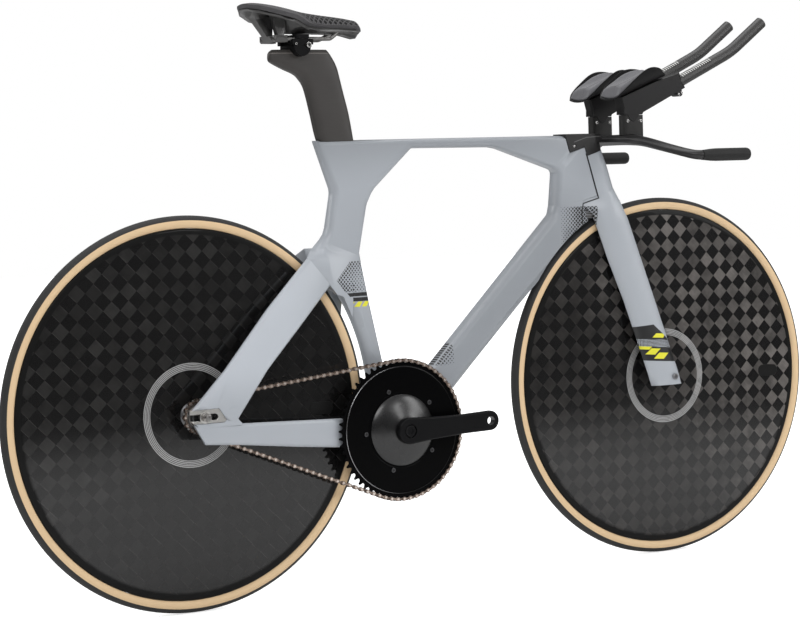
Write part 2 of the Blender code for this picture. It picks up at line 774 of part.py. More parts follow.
SEAT_TOP = Vector((SEAT_TOP_X, 0, TOP_TUBE_HEIGHT))
REAR_CUT = TYRE_RADIUS + REAR_TYRE_ROOM
FRONT_CUT = TYRE_RADIUS + FRONT_TYRE_ROOM
SLOT_HALF = TYRE_WIDTH / 2 + TYRE_SIDE_ROOM
STAY_JOINT_CUT = 0.012
POST_WALL = 0.004
WEDGE_THICKNESS = 0.011


def from_seat(x, z):
    return SEAT_TOP.x + x, SEAT_TOP.z + z


def from_bb(x, z):
    return BB.x + x, BB.z + z


def from_head(along, forward):
    point = head(along, forward)
    return point.x, point.z


def frame_main():
    seat_half, top_half, down_half = SEAT_TUBE_HALF, TOP_TUBE_HALF, DOWN_TUBE_HALF
    outer = [
        (*from_seat(0, 0), seat_half, 0.009, 0),
        (*from_seat(0.170, 0), top_half, 0.006, 0),
        (*from_seat(0.440, 0), top_half + 0.002, 0.007, 0),
        (axis_at_height(TOP_TUBE_HEIGHT).x, TOP_TUBE_HEIGHT, HEAD_HALF, 0.007, 0),
        (*from_head(CROWN_AT + 0.001, 0.004), HEAD_HALF, 0.001, 0),
        (*from_head(CROWN_AT - 0.052, -0.010), down_half, 0.008, 0),
        (*from_head(CROWN_AT - 0.088, -0.055), down_half, 0.010, 0),
        (*from_head(CROWN_AT - 0.155, -0.118), down_half, 0.014, 0),
        (*from_bb(0.128, 0.061), down_half, 0.016, 0),
        (*from_bb(0.057, -0.017), down_half + 0.003, 0.014, 0.03),
        (*from_bb(0.000, -0.032), down_half + 0.003, 0.014, 0.02),
        (*from_bb(-0.060, -0.010), seat_half, 0.004, 0),
        (*from_bb(-0.088, 0.110), seat_half, 0.004, 0),
        (*from_seat(-0.002, -0.251), seat_half, 0.004, 0),
        (*from_seat(-0.030, -0.214), seat_half, 0.006, 0),
        (*from_seat(-0.022, -0.192), seat_half, 0.008, 0),
        (*from_seat(0.008, -0.162), seat_half, 0.010, 0.04),
        (*from_seat(0.022, -0.089), seat_half, 0.011, 0.03),
    ]
    hole = [
        (*from_seat(0.181, -0.0165), top_half, 0.006, 0.012),
        (*from_seat(0.102, -0.088), seat_half, 0.012, 0.03),
        (*from_seat(0.089, -0.112), seat_half, 0.012, 0.02),
        (*from_seat(0.071, -0.196), seat_half, 0.010, 0),
        (*from_seat(0.074, -0.213), seat_half, 0.010, 0.02),
        (*from_bb(-0.036, 0.224), 0.90 * seat_half, 0.009, 0),
        (*from_bb(-0.012, 0.117), 0.87 * seat_half, 0.009, 0),
        (*from_bb(0.001, 0.066), 0.90 * seat_half, 0.009, 0.008),
        (*from_bb(0.046, 0.063), down_half, 0.012, 0.012),
        (*from_head(CROWN_AT - 0.003, -0.100), down_half, 0.014, 0.02),
        (*from_head(CROWN_AT + 0.010, -0.090), HEAD_HALF, 0.010, 0.01),
        (*from_head(CROWN_AT + 0.036, -0.0790), HEAD_HALF, 0.010, 0.01),
        (*from_head(CROWN_AT + 0.068, -0.0655), HEAD_HALF, 0.009, 0.010),
        (*from_head(CROWN_AT + 0.076, -0.0740), top_half + 0.002, 0.008, 0.008),
        (*from_seat(0.356, -0.0180), top_half, 0.006, 0.05),
    ]
    frame = piece("frame_main", moulded_plate(outer, [hole]), PAINT)

    nose = cylinder(HEAD_RADIUS, head(CROWN_AT + RUNNING), head(FLOOR_AT - RUNNING), 36)
    fuse(frame, helper("head_nose", nose))
    fuse(frame, helper("shoulder", shoulder()))
    cut(frame, helper("stay_joint", stay_joint()))
    fuse(frame, helper("bb_box", moulded_plate(bb_outline())))

    tyre_slot = cylinder(REAR_CUT, (0, -SLOT_HALF, 0), (0, SLOT_HALF, 0), 96)
    wide = DOWN_TUBE_HALF + 0.010
    front_slot = cylinder(
        FRONT_CUT, FRONT_AXLE - SIDE * wide, FRONT_AXLE + SIDE * wide, 96
    )
    crown_room = cylinder(
        TURNING_RADIUS + RUNNING, head(CROWN_AT - 0.080), head(CROWN_AT + RUNNING), 32
    )
    stem_room = cylinder(
        TURNING_RADIUS + RUNNING, head(FLOOR_AT - RUNNING), head(FLOOR_AT + 0.060), 32
    )
    head_bore = cylinder(HEAD_BORE_RADIUS, head(CROWN_AT - 0.05), head(FLOOR_AT + 0.05), 24)
    bb_bore = cylinder(BB_BORE_RADIUS, BB - SIDE * 0.06, BB + SIDE * 0.06, 24)
    depth = POST_INSERTION + 0.020
    socket = post_blade(TOP_TUBE_HEIGHT - depth, TOP_TUBE_HEIGHT + 0.01, grow=GAP)
    cut(
        frame,
        helper("rear_tyre_room", tyre_slot),
        helper("front_tyre_room", front_slot),
        helper("crown_room", crown_room),
        helper("stem_room", stem_room),
        helper("head_bore", head_bore),
        helper("bb_bore", bb_bore),
        helper("seat_socket", socket),
    )


def shoulder():
    """The wedge over the rear tyre from which both seat stays leave the seat tube.

    Each station is a ridge point, a ledge point with its half width, and a lower one.
    """
    wide, narrow = STAY_SHOULDER_HALF, SEAT_TUBE_HALF
    rear, front = seat_stay_top()
    behind = (rear - front).orthogonal().normalized() * STAY_JOINT_CUT
    if behind.x > 0:
        behind.negate()
    stations = [
        (from_seat(-0.0265, -0.185), rear + behind, wide, front + behind, wide),
        (from_seat(-0.002, -0.185), from_seat(-0.002, -0.202), wide - 0.001,
         from_seat(0.028, -0.270), narrow + 0.010),
        (from_seat(0.036, -0.187), from_seat(0.036, -0.203), wide - 0.009,
         from_seat(0.055, -0.325), narrow + 0.004),
        (from_seat(0.064, -0.193), from_seat(0.064, -0.200), narrow + 0.0003,
         from_seat(0.075, -0.354), narrow - 0.001),
    ]
    rings = []
    for ridge, ledge, out, low, low_out in stations:
        half = [
            (ridge, 0.60 * narrow), (ridge, narrow - 0.002), (ledge, out), (low, low_out),
            (low, 0.60 * narrow),
        ]
        left = [Vector((x, y, z)) for (x, z), y in half]
        rings.append(left + mirrored(left[::-1]))
    wedge = loft(rings)
    bmesh.ops.triangulate(wedge, faces=wedge.faces)
    return wedge


def stay_joint():
    """What is behind the seat stays' joint with the shoulder, up to the ledge."""
    rear, front = seat_stay_top()
    along = (rear - front).normalized()
    behind = along.orthogonal().normalized() * 2 * STAY_JOINT_CUT
    if behind.x > 0:
        behind.negate()
    foot = front - along * 0.055
    outline = [rear, rear + behind, foot + behind, foot]
    return prism([tuple(point) for point in outline], -0.05, 0.05)


def bb_outline():
    """The box round the bottom bracket, which the down tube and chain stays run into."""
    half = BB_WIDTH / 2
    joint = chain_stay_front()
    return [
        (joint + GAP, BB.z + 0.026, half, 0.004, 0),
        (*from_bb(-0.034, 0.050), half - 0.010, 0.008, 0),
        (*from_bb(-0.004, 0.078), 0.020, 0.008, 0.01),
        (*from_bb(0.048, 0.078), 0.023, 0.008, 0.01),
        (*from_bb(0.083, 0.101), 0.024, 0.008, 0),
        (*from_bb(0.123, 0.062), 0.024, 0.008, 0),
        (*from_bb(0.080, 0.015), half - 0.004, 0.010, 0),
        (*from_bb(0.052, -0.012), half, 0.010, 0.03),
        (*from_bb(0.018, -0.038), half, 0.010, 0.02),
        (joint + GAP, BB.z - 0.027, half, 0.004, 0),
    ]


def seat_stay_top():
    """Rear and front corner (x, z) of the cut where a seat stay meets the shoulder."""
    rear = Vector(from_seat(-0.0425, -0.2005))
    front = Vector(from_seat(0.0000, -0.2500))
    return rear, front


def chain_stay_front():
    return BB.x - 0.046


def stay(name, side, stations, pocket):
    """A tapered shell beam. Stations are (upper x, z, lower x, z, outer y, wall)."""
    rings = []
    soft = 0.004
    for ux, uz, lx, lz, outer, wall in stations:
        inner = outer - wall
        up, low = Vector((ux, uz)), Vector((lx, lz))
        in_ = (low - up).normalized() * soft
        ring = []
        for point, y in (
            (up + in_ * 1.6, outer), (up + in_ * 0.2, outer - 0.35 * wall),
            (up + in_ * 0.2, inner + 0.30 * wall), (up + in_ * 1.2, inner),
            (low - in_ * 1.2, inner), (low - in_ * 0.2, inner + 0.30 * wall),
            (low - in_ * 0.2, outer - 0.35 * wall), (low - in_ * 1.6, outer),
        ):
            ring.append(Vector((point.x, side * y, point.y)))
        rings.append(ring)
    beam = piece(name, loft(rings), PAINT)
    cut(beam, pocket)


def track_end_outline(grow=0.0):
    slot = REAR_AXLE_RADIUS + 0.0004
    rear, top, bottom = -0.028, 0.0125, -0.0105
    plate = [
        (rear - grow, top + grow), (0.026 + grow, top + 0.001 + grow),
        (0.040 + 1.5 * grow, bottom + 0.003), (0.036 + grow, bottom - grow),
        (rear + 0.008 - grow, bottom - grow),
    ]
    if grow:
        return plate
    arc = [
        (SLOT_END - slot + slot * sin(a), slot * cos(a))
        for a in (pi * k / 6 for k in range(7))
    ]
    return [plate[0], *plate[1:], (rear + 0.003, -slot), *arc[::-1], (rear, slot)]


def rear_end():
    top_rear, top_front = seat_stay_top()
    for side, word in ((-1, "right"), (1, "left")):
        low, high = sorted((side * (REAR_HALF - 0.02), side * (STAY_END_HALF + 0.01)))
        pocket = helper(f"track_end_pocket_{word}", prism(track_end_outline(GAP), low, high))
        end, shoulder = STAY_END_HALF, STAY_SHOULDER_HALF
        stay(f"seat_stay_{word}", side, [
            (-0.0235, 0.0131, 0.058, -0.0137, end, STAY_WALL),
            (-0.014, 0.022, 0.068, 0.000, end, STAY_WALL),
            (0.044, 0.075, 0.125, 0.070, end - 0.0085, STAY_WALL + 0.001),
            (0.134, 0.172, 0.196, 0.138, (end + shoulder) / 2 - 0.004, STAY_WALL + 0.003),
            (top_rear.x - GAP, top_rear.y - GAP, top_front.x - GAP, top_front.y - GAP,
             shoulder, shoulder - SLOT_HALF),
        ], pocket)
        half, front = BB_WIDTH / 2, chain_stay_front()
        stay(f"chain_stay_{word}", side, [
            (-0.020, -0.0112, 0.001, -0.047, end, STAY_WALL),
            (0.058, -0.0142, 0.060, -0.0515, end - 0.0005, STAY_WALL),
            (0.179, -0.020, 0.178, -0.066, end - 0.0170, STAY_WALL + 0.001),
            (0.262, -0.0240, 0.262, -0.0750, half + 0.0030, STAY_WALL + 0.001),
            (front, BB.z + 0.026, front, BB.z - 0.027, half, half - SLOT_HALF),
        ], pocket)
        low, high = sorted((side * REAR_HALF, side * (REAR_HALF + TRACK_END_THICKNESS)))
        piece(f"track_end_{word}", prism(track_end_outline(), low, high), STEEL)
        face = BB_WIDTH / 2
        profile = [
            (BB_BORE_RADIUS - GAP, side * (face - 0.012)),
            (BB_BORE_RADIUS - GAP, side * (face + GAP)),
            (BB_BORE_RADIUS + 0.002, side * (face + GAP)),
            (BB_BORE_RADIUS + 0.002, side * (face + 0.003)),
            (SPINDLE_RADIUS + RUNNING, side * (face + 0.003)),
            (SPINDLE_RADIUS + RUNNING, side * (face - 0.012)),
        ]
        name = f"bottom_bracket_{word}"
        piece(name, turned(profile, (BB.x, 0, BB.z), SIDE, 18), ALUMINIUM)


def headset():
    for name, low in (
        ("headset_lower_bearing", CROWN_AT + 2 * RUNNING),
        ("headset_upper_bearing", FLOOR_AT - 2 * RUNNING - BEARING_HEIGHT),
    ):
        bearing = sleeve(
            HEAD_BORE_RADIUS - GAP, STEERER_RADIUS + GAP + 0.0002,
            head(low), head(low + BEARING_HEIGHT), 18,
        )
        piece(name, bearing, STEEL, AXIS_FOOT)


# Fork and stem


def nose_ring(along, half, nose, rear=0.0):
    """A section across the steering axis: straight sides and a rounded nose."""
    ring = []
    for forward, share in (
        (rear, 1.0), (0.50 * nose, 1.0), (0.76 * nose, 0.80), (0.94 * nose, 0.42),
    ):
        ring.append(head(along, forward, share * half))
    return ring + [
        head(along, forward, -share * half)
        for forward, share in ((0.94 * nose, 0.42), (0.76 * nose, 0.80), (0.50 * nose, 1.0),
                               (rear, 1.0))
    ]


def turning_ring(along, half, front):
    """A section whose rear lies on the circle that turns in the frame."""
    reach = asin(min(half / TURNING_RADIUS, 0.98))
    rear = []
    for k in range(7):
        a = pi - reach + 2 * reach * k / 6
        rear.append(head(along, TURNING_RADIUS * cos(a), TURNING_RADIUS * sin(a)))
    return [*rear, head(along, 0.6 * front, -half), head(along, front, -0.62 * half),
            head(along, front, 0.62 * half), head(along, 0.6 * front, half)]


def crown_ring(along, half, front):
    """Half of a section of the crown, whose rear is on the circle that turns in the frame."""
    r = TURNING_RADIUS
    reach = asin(0.86 * half / r)
    rear = [(-r * cos(a), r * sin(a)) for a in (0.25 * reach, 0.62 * reach, reach)]
    front = [(0.50 * front, half), (0.76 * front, 0.80 * half), (0.94 * front, 0.42 * half),
             (0.955 * front, 0.14 * half)]
    return [head(along, forward, side) for forward, side in rear + front]


def leg_ring(rear, front, inner, thickness):
    """Half of a section of the fork, from a rear to a front (x, z) point."""
    ring = []
    for share, out in (
        (0.0, 0.15), (0.07, 0.52), (0.24, 0.86), (0.55, 1.0), (0.82, 0.84), (0.95, 0.50),
        (1.0, 0.10),
    ):
        x, z = (a + (b - a) * share for a, b in zip(rear, front))
        ring.append(Vector((x, inner + out * thickness, z)))
    return ring


def fork():
    """A blade in front of the head tube that spreads over the tyre into two legs."""
    nose, blade_half = BLADE_NOSE, BLADE_HALF
    made = piece("fork", loft([
        nose_ring(CROWN_AT + BLADE_LENGTH, blade_half, nose - 0.003),
        nose_ring(CROWN_AT + 0.55 * BLADE_LENGTH, blade_half, nose),
        nose_ring(CROWN_AT - 0.006, blade_half, nose + 0.001),
    ]), PAINT, AXIS_FOOT)
    head_room = cylinder(
        HEAD_RADIUS + RUNNING, head(CROWN_AT - 0.003), head(CROWN_AT + BLADE_LENGTH + 0.02), 32
    )
    cut(made, helper("fork_head_room", head_room))

    inner, wall, tip, tip_wall = SLOT_HALF, LEG_THICKNESS, FRONT_HALF, LEG_TIP_THICKNESS
    top = CROWN_AT * sin(HEAD_ANGLE)
    axle_x = FRONT_AXLE.x
    middle = 0.43 * top
    halves = [
        crown_ring(CROWN_AT, blade_half + 0.0006, nose + 0.001),
        crown_ring(CROWN_AT - 0.010, blade_half + 0.0026, nose + 0.003),
        leg_ring((axle_x - 0.162, top - 0.032), (axle_x - 0.0985, top - 0.010), inner, 0.0115),
        leg_ring((axle_x - 0.150, top - 0.062), (axle_x - 0.0815, top - 0.044), inner, wall),
        leg_ring((axle_x - 0.132, top - 0.110), (axle_x - 0.0600, top - 0.102), inner, wall),
        leg_ring((axle_x - 0.099, middle), (axle_x - 0.0285, middle), inner + 0.0045, wall),
        leg_ring((axle_x - 0.057, 0.010), (axle_x + 0.013, 0.010), tip, tip_wall),
        leg_ring((axle_x - 0.049, -0.015), (axle_x + 0.0205, -0.015), tip, tip_wall),
    ]
    fuse(made, helper("fork_body", loft([half + mirrored(half[::-1]) for half in halves])))

    tyre_room = cylinder(FRONT_CUT - 0.001, FRONT_AXLE - SIDE * inner, FRONT_AXLE + SIDE * inner, 96)
    sides = [(top - 0.095, inner - GAP), (middle, inner + 0.0045), (0.010, tip), (-0.03, tip)]
    rear, front = axle_x - 0.18, axle_x + 0.12
    wheel_room = loft([
        [Vector((x, y, z))
         for x, y in ((rear, half), (front, half), (front, -half), (rear, -half))]
        for z, half in sides
    ])
    bore = cylinder(
        STEERER_RADIUS + GAP, head(CROWN_AT - 0.014), head(CROWN_AT + 0.010), 20
    )
    bolts = cylinder(0.0032, FRONT_AXLE - SIDE * 0.06, FRONT_AXLE + SIDE * 0.06, 12)
    cut(
        made,
        helper("fork_tyre_room", tyre_room),
        helper("fork_wheel_room", wheel_room),
        helper("steerer_bore", bore),
        helper("axle_bolt_bore", bolts),
    )
    steerer = cylinder(
        STEERER_RADIUS, head(CROWN_AT - 0.014 + GAP), head(FLOOR_AT + 0.018), 20
    )
    piece("steerer", steerer, STEEL, AXIS_FOOT)


STEM_TOP = TOP_TUBE_HEIGHT + 0.0025
BAR_REAR = axis_at_height(BAR_HEIGHT).x + BAR_SETBACK


def stem():
    """The block in the frame's notch, with a lug down to the fork's blade."""
    high = FLOOR_AT + 0.060
    half = BLADE_HALF - 0.001
    body = loft([
        turning_ring(FLOOR_AT + GAP, half, BLADE_NOSE),
        turning_ring(high, half, BLADE_NOSE),
    ])
    tops = body.verts[:] + body.edges[:] + body.faces[:]
    done = bmesh.ops.bisect_plane(
        body, geom=tops, plane_co=(0, 0, STEM_TOP), plane_no=(0, 0, 1), clear_outer=True
    )
    rim = [e for e in done["geom_cut"] if isinstance(e, bmesh.types.BMEdge)]
    bmesh.ops.contextual_create(body, geom=rim)
    made = piece("stem", body, SATIN_BLACK, AXIS_FOOT)
    lug = loft([
        nose_ring(CROWN_AT + BLADE_LENGTH + GAP, BLADE_HALF, BLADE_NOSE - 0.003),
        nose_ring(FLOOR_AT + 0.010, BLADE_HALF - 0.001, BLADE_NOSE - 0.001),
    ])
    lug = helper("stem_lug", lug)
    room = cylinder(HEAD_RADIUS + RUNNING, head(CROWN_AT), head(FLOOR_AT + 0.03), 32)
    cut(lug, helper("stem_head_room", room))
    fuse(made, lug)
    bore = cylinder(
        STEERER_RADIUS + GAP, head(FLOOR_AT - 0.01), head(FLOOR_AT + 0.0185), 24
    )
    face = BAR_REAR - 2 * GAP
    low, top = BAR_HEIGHT - 0.15, BAR_HEIGHT + 0.15
    front = [(face, low), (face + 0.2, low), (face + 0.2, top), (face, top)]
    clamp_face = prism(front, -0.05, 0.05)
    screw = head(FLOOR_AT + 0.009, -0.020)
    screw_bore = cylinder(0.0034, screw - SIDE * 0.03, screw, 12)
    cut(
        made,
        helper("stem_bore", bore),
        helper("stem_face", clamp_face),
        helper("stem_screw_bore", screw_bore),
    )
    start = screw - SIDE * (half - 0.004)
    piece(
        "stem_screw", cylinder(0.0030, start + SIDE * 0.003, start - SIDE * 0.0035, 10), STEEL,
        AXIS_FOOT,
    )


def bar_stations():
    """(x, |y|, z, half chord, half height) of the base bar from its middle outwards."""
    middle, half, end = BAR_REAR + BAR_CENTRE_CHORD / 2, BAR_CENTRE_CHORD / 2, BAR_HALF_WIDTH
    low = BAR_HEIGHT - GRIP_DROP
    return [
        (middle, 0.000, BAR_HEIGHT, half, BAR_HALF_HEIGHT),
        (middle, 0.17 * end, BAR_HEIGHT, half, BAR_HALF_HEIGHT),
        (middle + 0.002, 0.33 * end, BAR_HEIGHT - 0.001, half, BAR_HALF_HEIGHT),
        (middle + 0.015, 0.43 * end, BAR_HEIGHT - 0.0045, half - 0.006, 0.0095),
        (middle + 0.0275, 0.60 * end, BAR_HEIGHT - 0.0135, half - 0.009, 0.0088),
        (middle + 0.040, 0.80 * end, BAR_HEIGHT - 0.0235, half - 0.011, 0.0084),
        (middle + 0.052, 0.95 * end, low + 0.0015, half - 0.014, 0.0090),
        (middle + 0.066, end, low, GRIP_CORE_RADIUS, GRIP_CORE_RADIUS),
        (middle + GRIP_REACH, end, low, GRIP_CORE_RADIUS, GRIP_CORE_RADIUS),
    ]


def bar_shape(grow=0.0):
    *bent, tip = bar_stations()
    half = [*smooth_path(bent, 2), Vector(tip)]
    left = half[::-1]
    right = [Vector((s[0], -s[1], *s[2:])) for s in half[1:]]
    path = [Vector(s[:3]) for s in left + right]
    sizes = [(s[3] + grow, s[4] + grow) for s in left + right]
    return sweep(path, sizes, 10)


def base_bar():
    piece("base_bar", bar_shape(), SATIN_BLACK, AXIS_FOOT)
    tip = BAR_REAR + BAR_CENTRE_CHORD / 2 + GRIP_REACH
    low = BAR_HEIGHT - GRIP_DROP
    for side, word in ((-1, "right"), (1, "left")):
        y = side * BAR_HALF_WIDTH
        inner, outer = GRIP_CORE_RADIUS + GAP, GRIP_RADIUS
        steps = [
            (outer - 0.0005, -GRIP_LENGTH), (outer, -GRIP_LENGTH + 0.003), (outer, -0.003),
            (0.88 * outer, 0.0015), (0.55 * outer, 0.0045),
        ]
        rings = []
        for r, x in steps:
            rings.append([
                Vector((tip + x, y + r * cos(2 * pi * k / 14), low + r * sin(2 * pi * k / 14)))
                for k in range(14)
            ])
        grip = piece(f"grip_{word}", loft(rings), RUBBER, AXIS_FOOT)
        bore = cylinder(inner, (tip - GRIP_LENGTH - 0.02, y, low), (tip + GAP, y, low), 14)
        cut(grip, helper(f"grip_bore_{word}", bore))


# Arm rests

BAR_MIDDLE_X = BAR_REAR + BAR_CENTRE_CHORD / 2
RISER_FOOT = BAR_HEIGHT + 0.004
RISER_TOP = BAR_HEIGHT + BAR_HALF_HEIGHT + RISER_HEIGHT
RISER_MIDDLE_X = BAR_MIDDLE_X + 0.006
ARM_AHEAD = Vector((cos(EXTENSION_ANGLE), 0, sin(EXTENSION_ANGLE)))
ARM_ABOVE = Vector((-sin(EXTENSION_ANGLE), 0, cos(EXTENSION_ANGLE)))
CLAMP_MOUTH = Vector((RISER_MIDDLE_X + 0.1165, 0, RISER_TOP + 0.0615))
CLAMP_DEPTH = 0.127
CUP_ALONG = Vector((cos(CUP_SLOPE), 0, sin(CUP_SLOPE)))
CUP_ABOVE = Vector((-sin(CUP_SLOPE), 0, cos(CUP_SLOPE)))
CUP_REAR = CLAMP_MOUTH - Vector((0.169, 0, 0.038))
EXTENSION_INSERTION = 0.092


def rounded_box(x0, x1, y0, y1, z0, z1, soft):
    """A block with its upright edges rounded off."""
    outline = []
    for cx, cy, first in (
        (x1 - soft, y1 - soft, 0), (x0 + soft, y1 - soft, 90),
        (x0 + soft, y0 + soft, 180), (x1 - soft, y0 + soft, 270),
    ):
        for extra in (0, 45, 90):
            a = radians(first + extra)
            outline.append((cx + soft * cos(a), cy + soft * sin(a)))
    return loft([[Vector((x, y, z)) for x, y in outline] for z in (z0, z1)])


def arm_rest(side, word):
    y = side * ARM_HALF_SPACING
    x0, x1 = RISER_MIDDLE_X - RISER_LENGTH / 2, RISER_MIDDLE_X + RISER_LENGTH / 2
    y0, y1 = y - RISER_WIDTH / 2, y + RISER_WIDTH / 2
    riser = piece(
        f"riser_{word}",
        rounded_box(x0, x1, y0, y1, RISER_FOOT, RISER_TOP, 0.008), SATIN_BLACK, AXIS_FOOT,
    )
    socket_in = 0.0060
    socket = rounded_box(
        x0 + socket_in - GAP, x1 - socket_in + GAP, y0 + socket_in - GAP, y1 - socket_in + GAP,
        RISER_TOP - 0.016, RISER_TOP + 0.01, 0.004,
    )
    cut(
        riser,
        helper(f"riser_saddle_{word}", bar_shape(GAP)),
        helper(f"riser_socket_{word}", socket),
    )

    # bracket: an upright neck that leans forward into the extension clamp
    mouth = CLAMP_MOUTH + SIDE * y
    low, top = EXTENSION_RADIUS + BRACKET_WALL, EXTENSION_RADIUS + BRACKET_WALL + 0.004
    neck = RISER_TOP + 2 * GAP
    nose_low = mouth - ARM_ABOVE * low
    nose_top = mouth + ARM_ABOVE * top
    seat_rear = CUP_REAR + CUP_ALONG * 0.026 - CUP_ABOVE * GAP
    seat_front = CUP_REAR + CUP_ALONG * 0.94 * CUP_LENGTH - CUP_ABOVE * GAP
    belly = nose_low - ARM_AHEAD * (nose_low.x - x1 - 0.006) / ARM_AHEAD.x
    outline = [
        (x0, neck), (x1, neck), (x1 + 0.002, neck + 0.003),
        (belly.x, belly.z), (nose_low.x, nose_low.z), (nose_top.x, nose_top.z),
        (seat_front.x, seat_front.z), (seat_rear.x, seat_rear.z), (x0 - 0.002, neck + 0.012),
    ]
    half = RISER_WIDTH / 2 + 0.001
    rings = []
    middle = Vector((sum(p[0] for p in outline), sum(p[1] for p in outline))) / len(outline)
    for width, shrink in ((-1.0, 0.94), (-0.72, 1.0), (0.72, 1.0), (1.0, 0.94)):
        rings.append([
            Vector((middle.x + (px - middle.x) * (shrink if pz > neck else 1.0),
                    y + width * half,
                    middle.y + (pz - middle.y) * (shrink if pz > neck else 1.0)))
            for px, pz in outline
        ])
    bracket = piece(f"arm_bracket_{word}", loft(rings), SATIN_BLACK, AXIS_FOOT)
    spigot = rounded_box(
        x0 + socket_in, x1 - socket_in, y0 + socket_in, y1 - socket_in,
        RISER_TOP - 0.0155, neck + 0.006, 0.004,
    )
    lug_at = mouth - ARM_AHEAD * 0.016 - ARM_ABOVE * (low + 0.003)
    lug = cylinder(0.0068, lug_at - SIDE * 0.010, lug_at + SIDE * 0.010, 12)
    fuse(
        bracket,
        helper(f"bracket_spigot_{word}", spigot),
        helper(f"clamp_lug_{word}", lug),
    )
    bore = cylinder(
        EXTENSION_RADIUS + GAP, mouth - ARM_AHEAD * CLAMP_DEPTH, mouth + ARM_AHEAD * 0.02, 16
    )
    cut(bracket, helper(f"extension_bore_{word}", bore))
    arm_cup(side, word, y)
    extension(word, mouth)


CUP_ACROSS = (-1.0, -0.86, -0.66, -0.33, 0.0, 0.33, 0.66, 0.86, 1.0)
CUP_STATIONS = (  # share of the length, share of the half width, of the walls' height
    (0.00, 0.62, 0.20), (0.10, 0.90, 0.80), (0.30, 1.00, 1.00), (0.62, 1.00, 0.96),
    (0.86, 0.84, 0.62), (1.00, 0.52, 0.08),
)


def trough_point(station, across, height):
    """A point over the cup's underside as (along, across, up), in the cup's own frame."""
    share, width, wall = station
    reach = CUP_HALF_WIDTH * width
    rise = CUP_RISE * wall
    slope = 2.4 * rise / reach * abs(across) ** 1.4
    lean = Vector((-slope if across > 0 else slope, 1.0)).normalized()
    return Vector((
        share * CUP_LENGTH,
        across * reach + lean.x * height,
        rise * abs(across) ** 2.4 + lean.y * height,
    ))


def trough(stations, across, low, high):
    """A closed sheet that follows the trough between two heights over its underside."""
    rings = []
    for station in stations:
        under = [trough_point(station, a, low) for a in across]
        over = [trough_point(station, a, high) for a in across]
        rings.append(under + over[::-1])
    return rings


def arm_cup(side, word, y):
    """The cup and its foam pad, both drawn level and then tipped to the arm's slope."""
    corner = CUP_REAR + SIDE * y

    def place(rings):
        return [
            [corner + CUP_ALONG * p.x + SIDE * (side * p.y) + CUP_ABOVE * p.z for p in ring]
            for ring in rings
        ]

    cup_rings = trough(CUP_STATIONS, CUP_ACROSS, 0.0, CUP_WALL)
    piece(f"arm_cup_{word}", loft(place(cup_rings)), SATIN_BLACK, AXIS_FOOT)
    low = CUP_WALL + 3 * GAP
    pad_rings = trough(CUP_STATIONS[1:-1], CUP_ACROSS[1:-1], low, low + PAD_THICKNESS)
    piece(f"arm_pad_{word}", loft(place(pad_rings)), FOAM, AXIS_FOOT)


def extension(word, mouth):
    """A bent tube held in the bracket's clamp."""
    bend = mouth + ARM_AHEAD * (EXTENSION_STRAIGHT - EXTENSION_INSERTION)
    tip_way = Vector((cos(EXTENSION_TIP_ANGLE), 0, sin(EXTENSION_TIP_ANGLE)))
    path = [mouth - ARM_AHEAD * EXTENSION_INSERTION, bend - ARM_AHEAD * 0.020]
    for k in (1, 2, 3):
        t = k / 4
        start, end = bend - ARM_AHEAD * 0.020, bend + tip_way * 0.020
        path.append(start * (1 - t) ** 2 + bend * 2 * t * (1 - t) + end * t**2)
    path += [bend + tip_way * 0.020, bend + tip_way * EXTENSION_TIP]
    radius = EXTENSION_RADIUS
    sizes = [(radius, radius)] * len(path)
    tube = sweep(path, sizes, 14)
    made = piece(f"extension_{word}", tube, BLACK_CARBON, mouth)
    end = path[-1]
    bore = cylinder(radius - 0.0015, end - tip_way * 0.03, end + tip_way * 0.01, 14)
    cut(made, helper(f"extension_end_bore_{word}", bore))


# Seatpost and saddle

POST_REAR = SEAT_TOP + Vector((POST_WALL, 0, 0))
HEAD_TOP = TOP_TUBE_HEIGHT + POST_RISE
HEAD_REAR = POST_REAR.x - 0.094


def post_rear(z):
    return POST_REAR.x - (z - TOP_TUBE_HEIGHT) * cos(SEAT_ANGLE) / sin(SEAT_ANGLE)


def post_front(z):
    return post_rear(z) + POST_CHORD


def post_blade(low, high, grow=0.0):
    """The straight stretch of the post that slides in the seat tube."""
    half, edge = POST_HALF + grow, 0.013
    return moulded_plate([
        (post_rear(low) - grow, low, half, edge, 0),
        (post_front(low) + grow, low, half, edge, 0),
        (post_front(high) + grow, high, half, edge, 0),
        (post_rear(high) - grow, high, half, edge, 0),
    ])


def post_shape():
    """The blade, which leans back into a long flat head under the saddle."""
    low, bend, top = TOP_TUBE_HEIGHT - POST_INSERTION, TOP_TUBE_HEIGHT + 0.090, HEAD_TOP
    half, edge, end = POST_HALF, 0.013, HEAD_REAR + POST_HEAD_LENGTH
    return moulded_plate([
        (post_rear(low), low, half, edge, 0),
        (post_front(low), low, half, edge, 0),
        (post_front(bend), bend, half, edge, 0),
        (end + 0.017, top - 0.030, half, 0.010, 0.04),
        (end + 0.004, top - 0.007, half, 0.005, 0),
        (end, top, half, 0.003, 0),
        (HEAD_REAR + 0.006, top, half, 0.003, 0),
        (HEAD_REAR, top - 0.010, half, 0.004, 0),
        (HEAD_REAR + 0.005, top - 0.020, half, 0.005, 0),
        (HEAD_REAR + 0.047, top - 0.039, half, 0.008, 0.03),
        (post_rear(top - 0.060), top - 0.060, half, edge, 0),
    ])


CLAMP_X = HEAD_REAR + 0.052
RAIL_Z = HEAD_TOP + RAIL_HEIGHT
TILT_AXIS = Vector((CLAMP_X, 0, HEAD_TOP + 0.004))


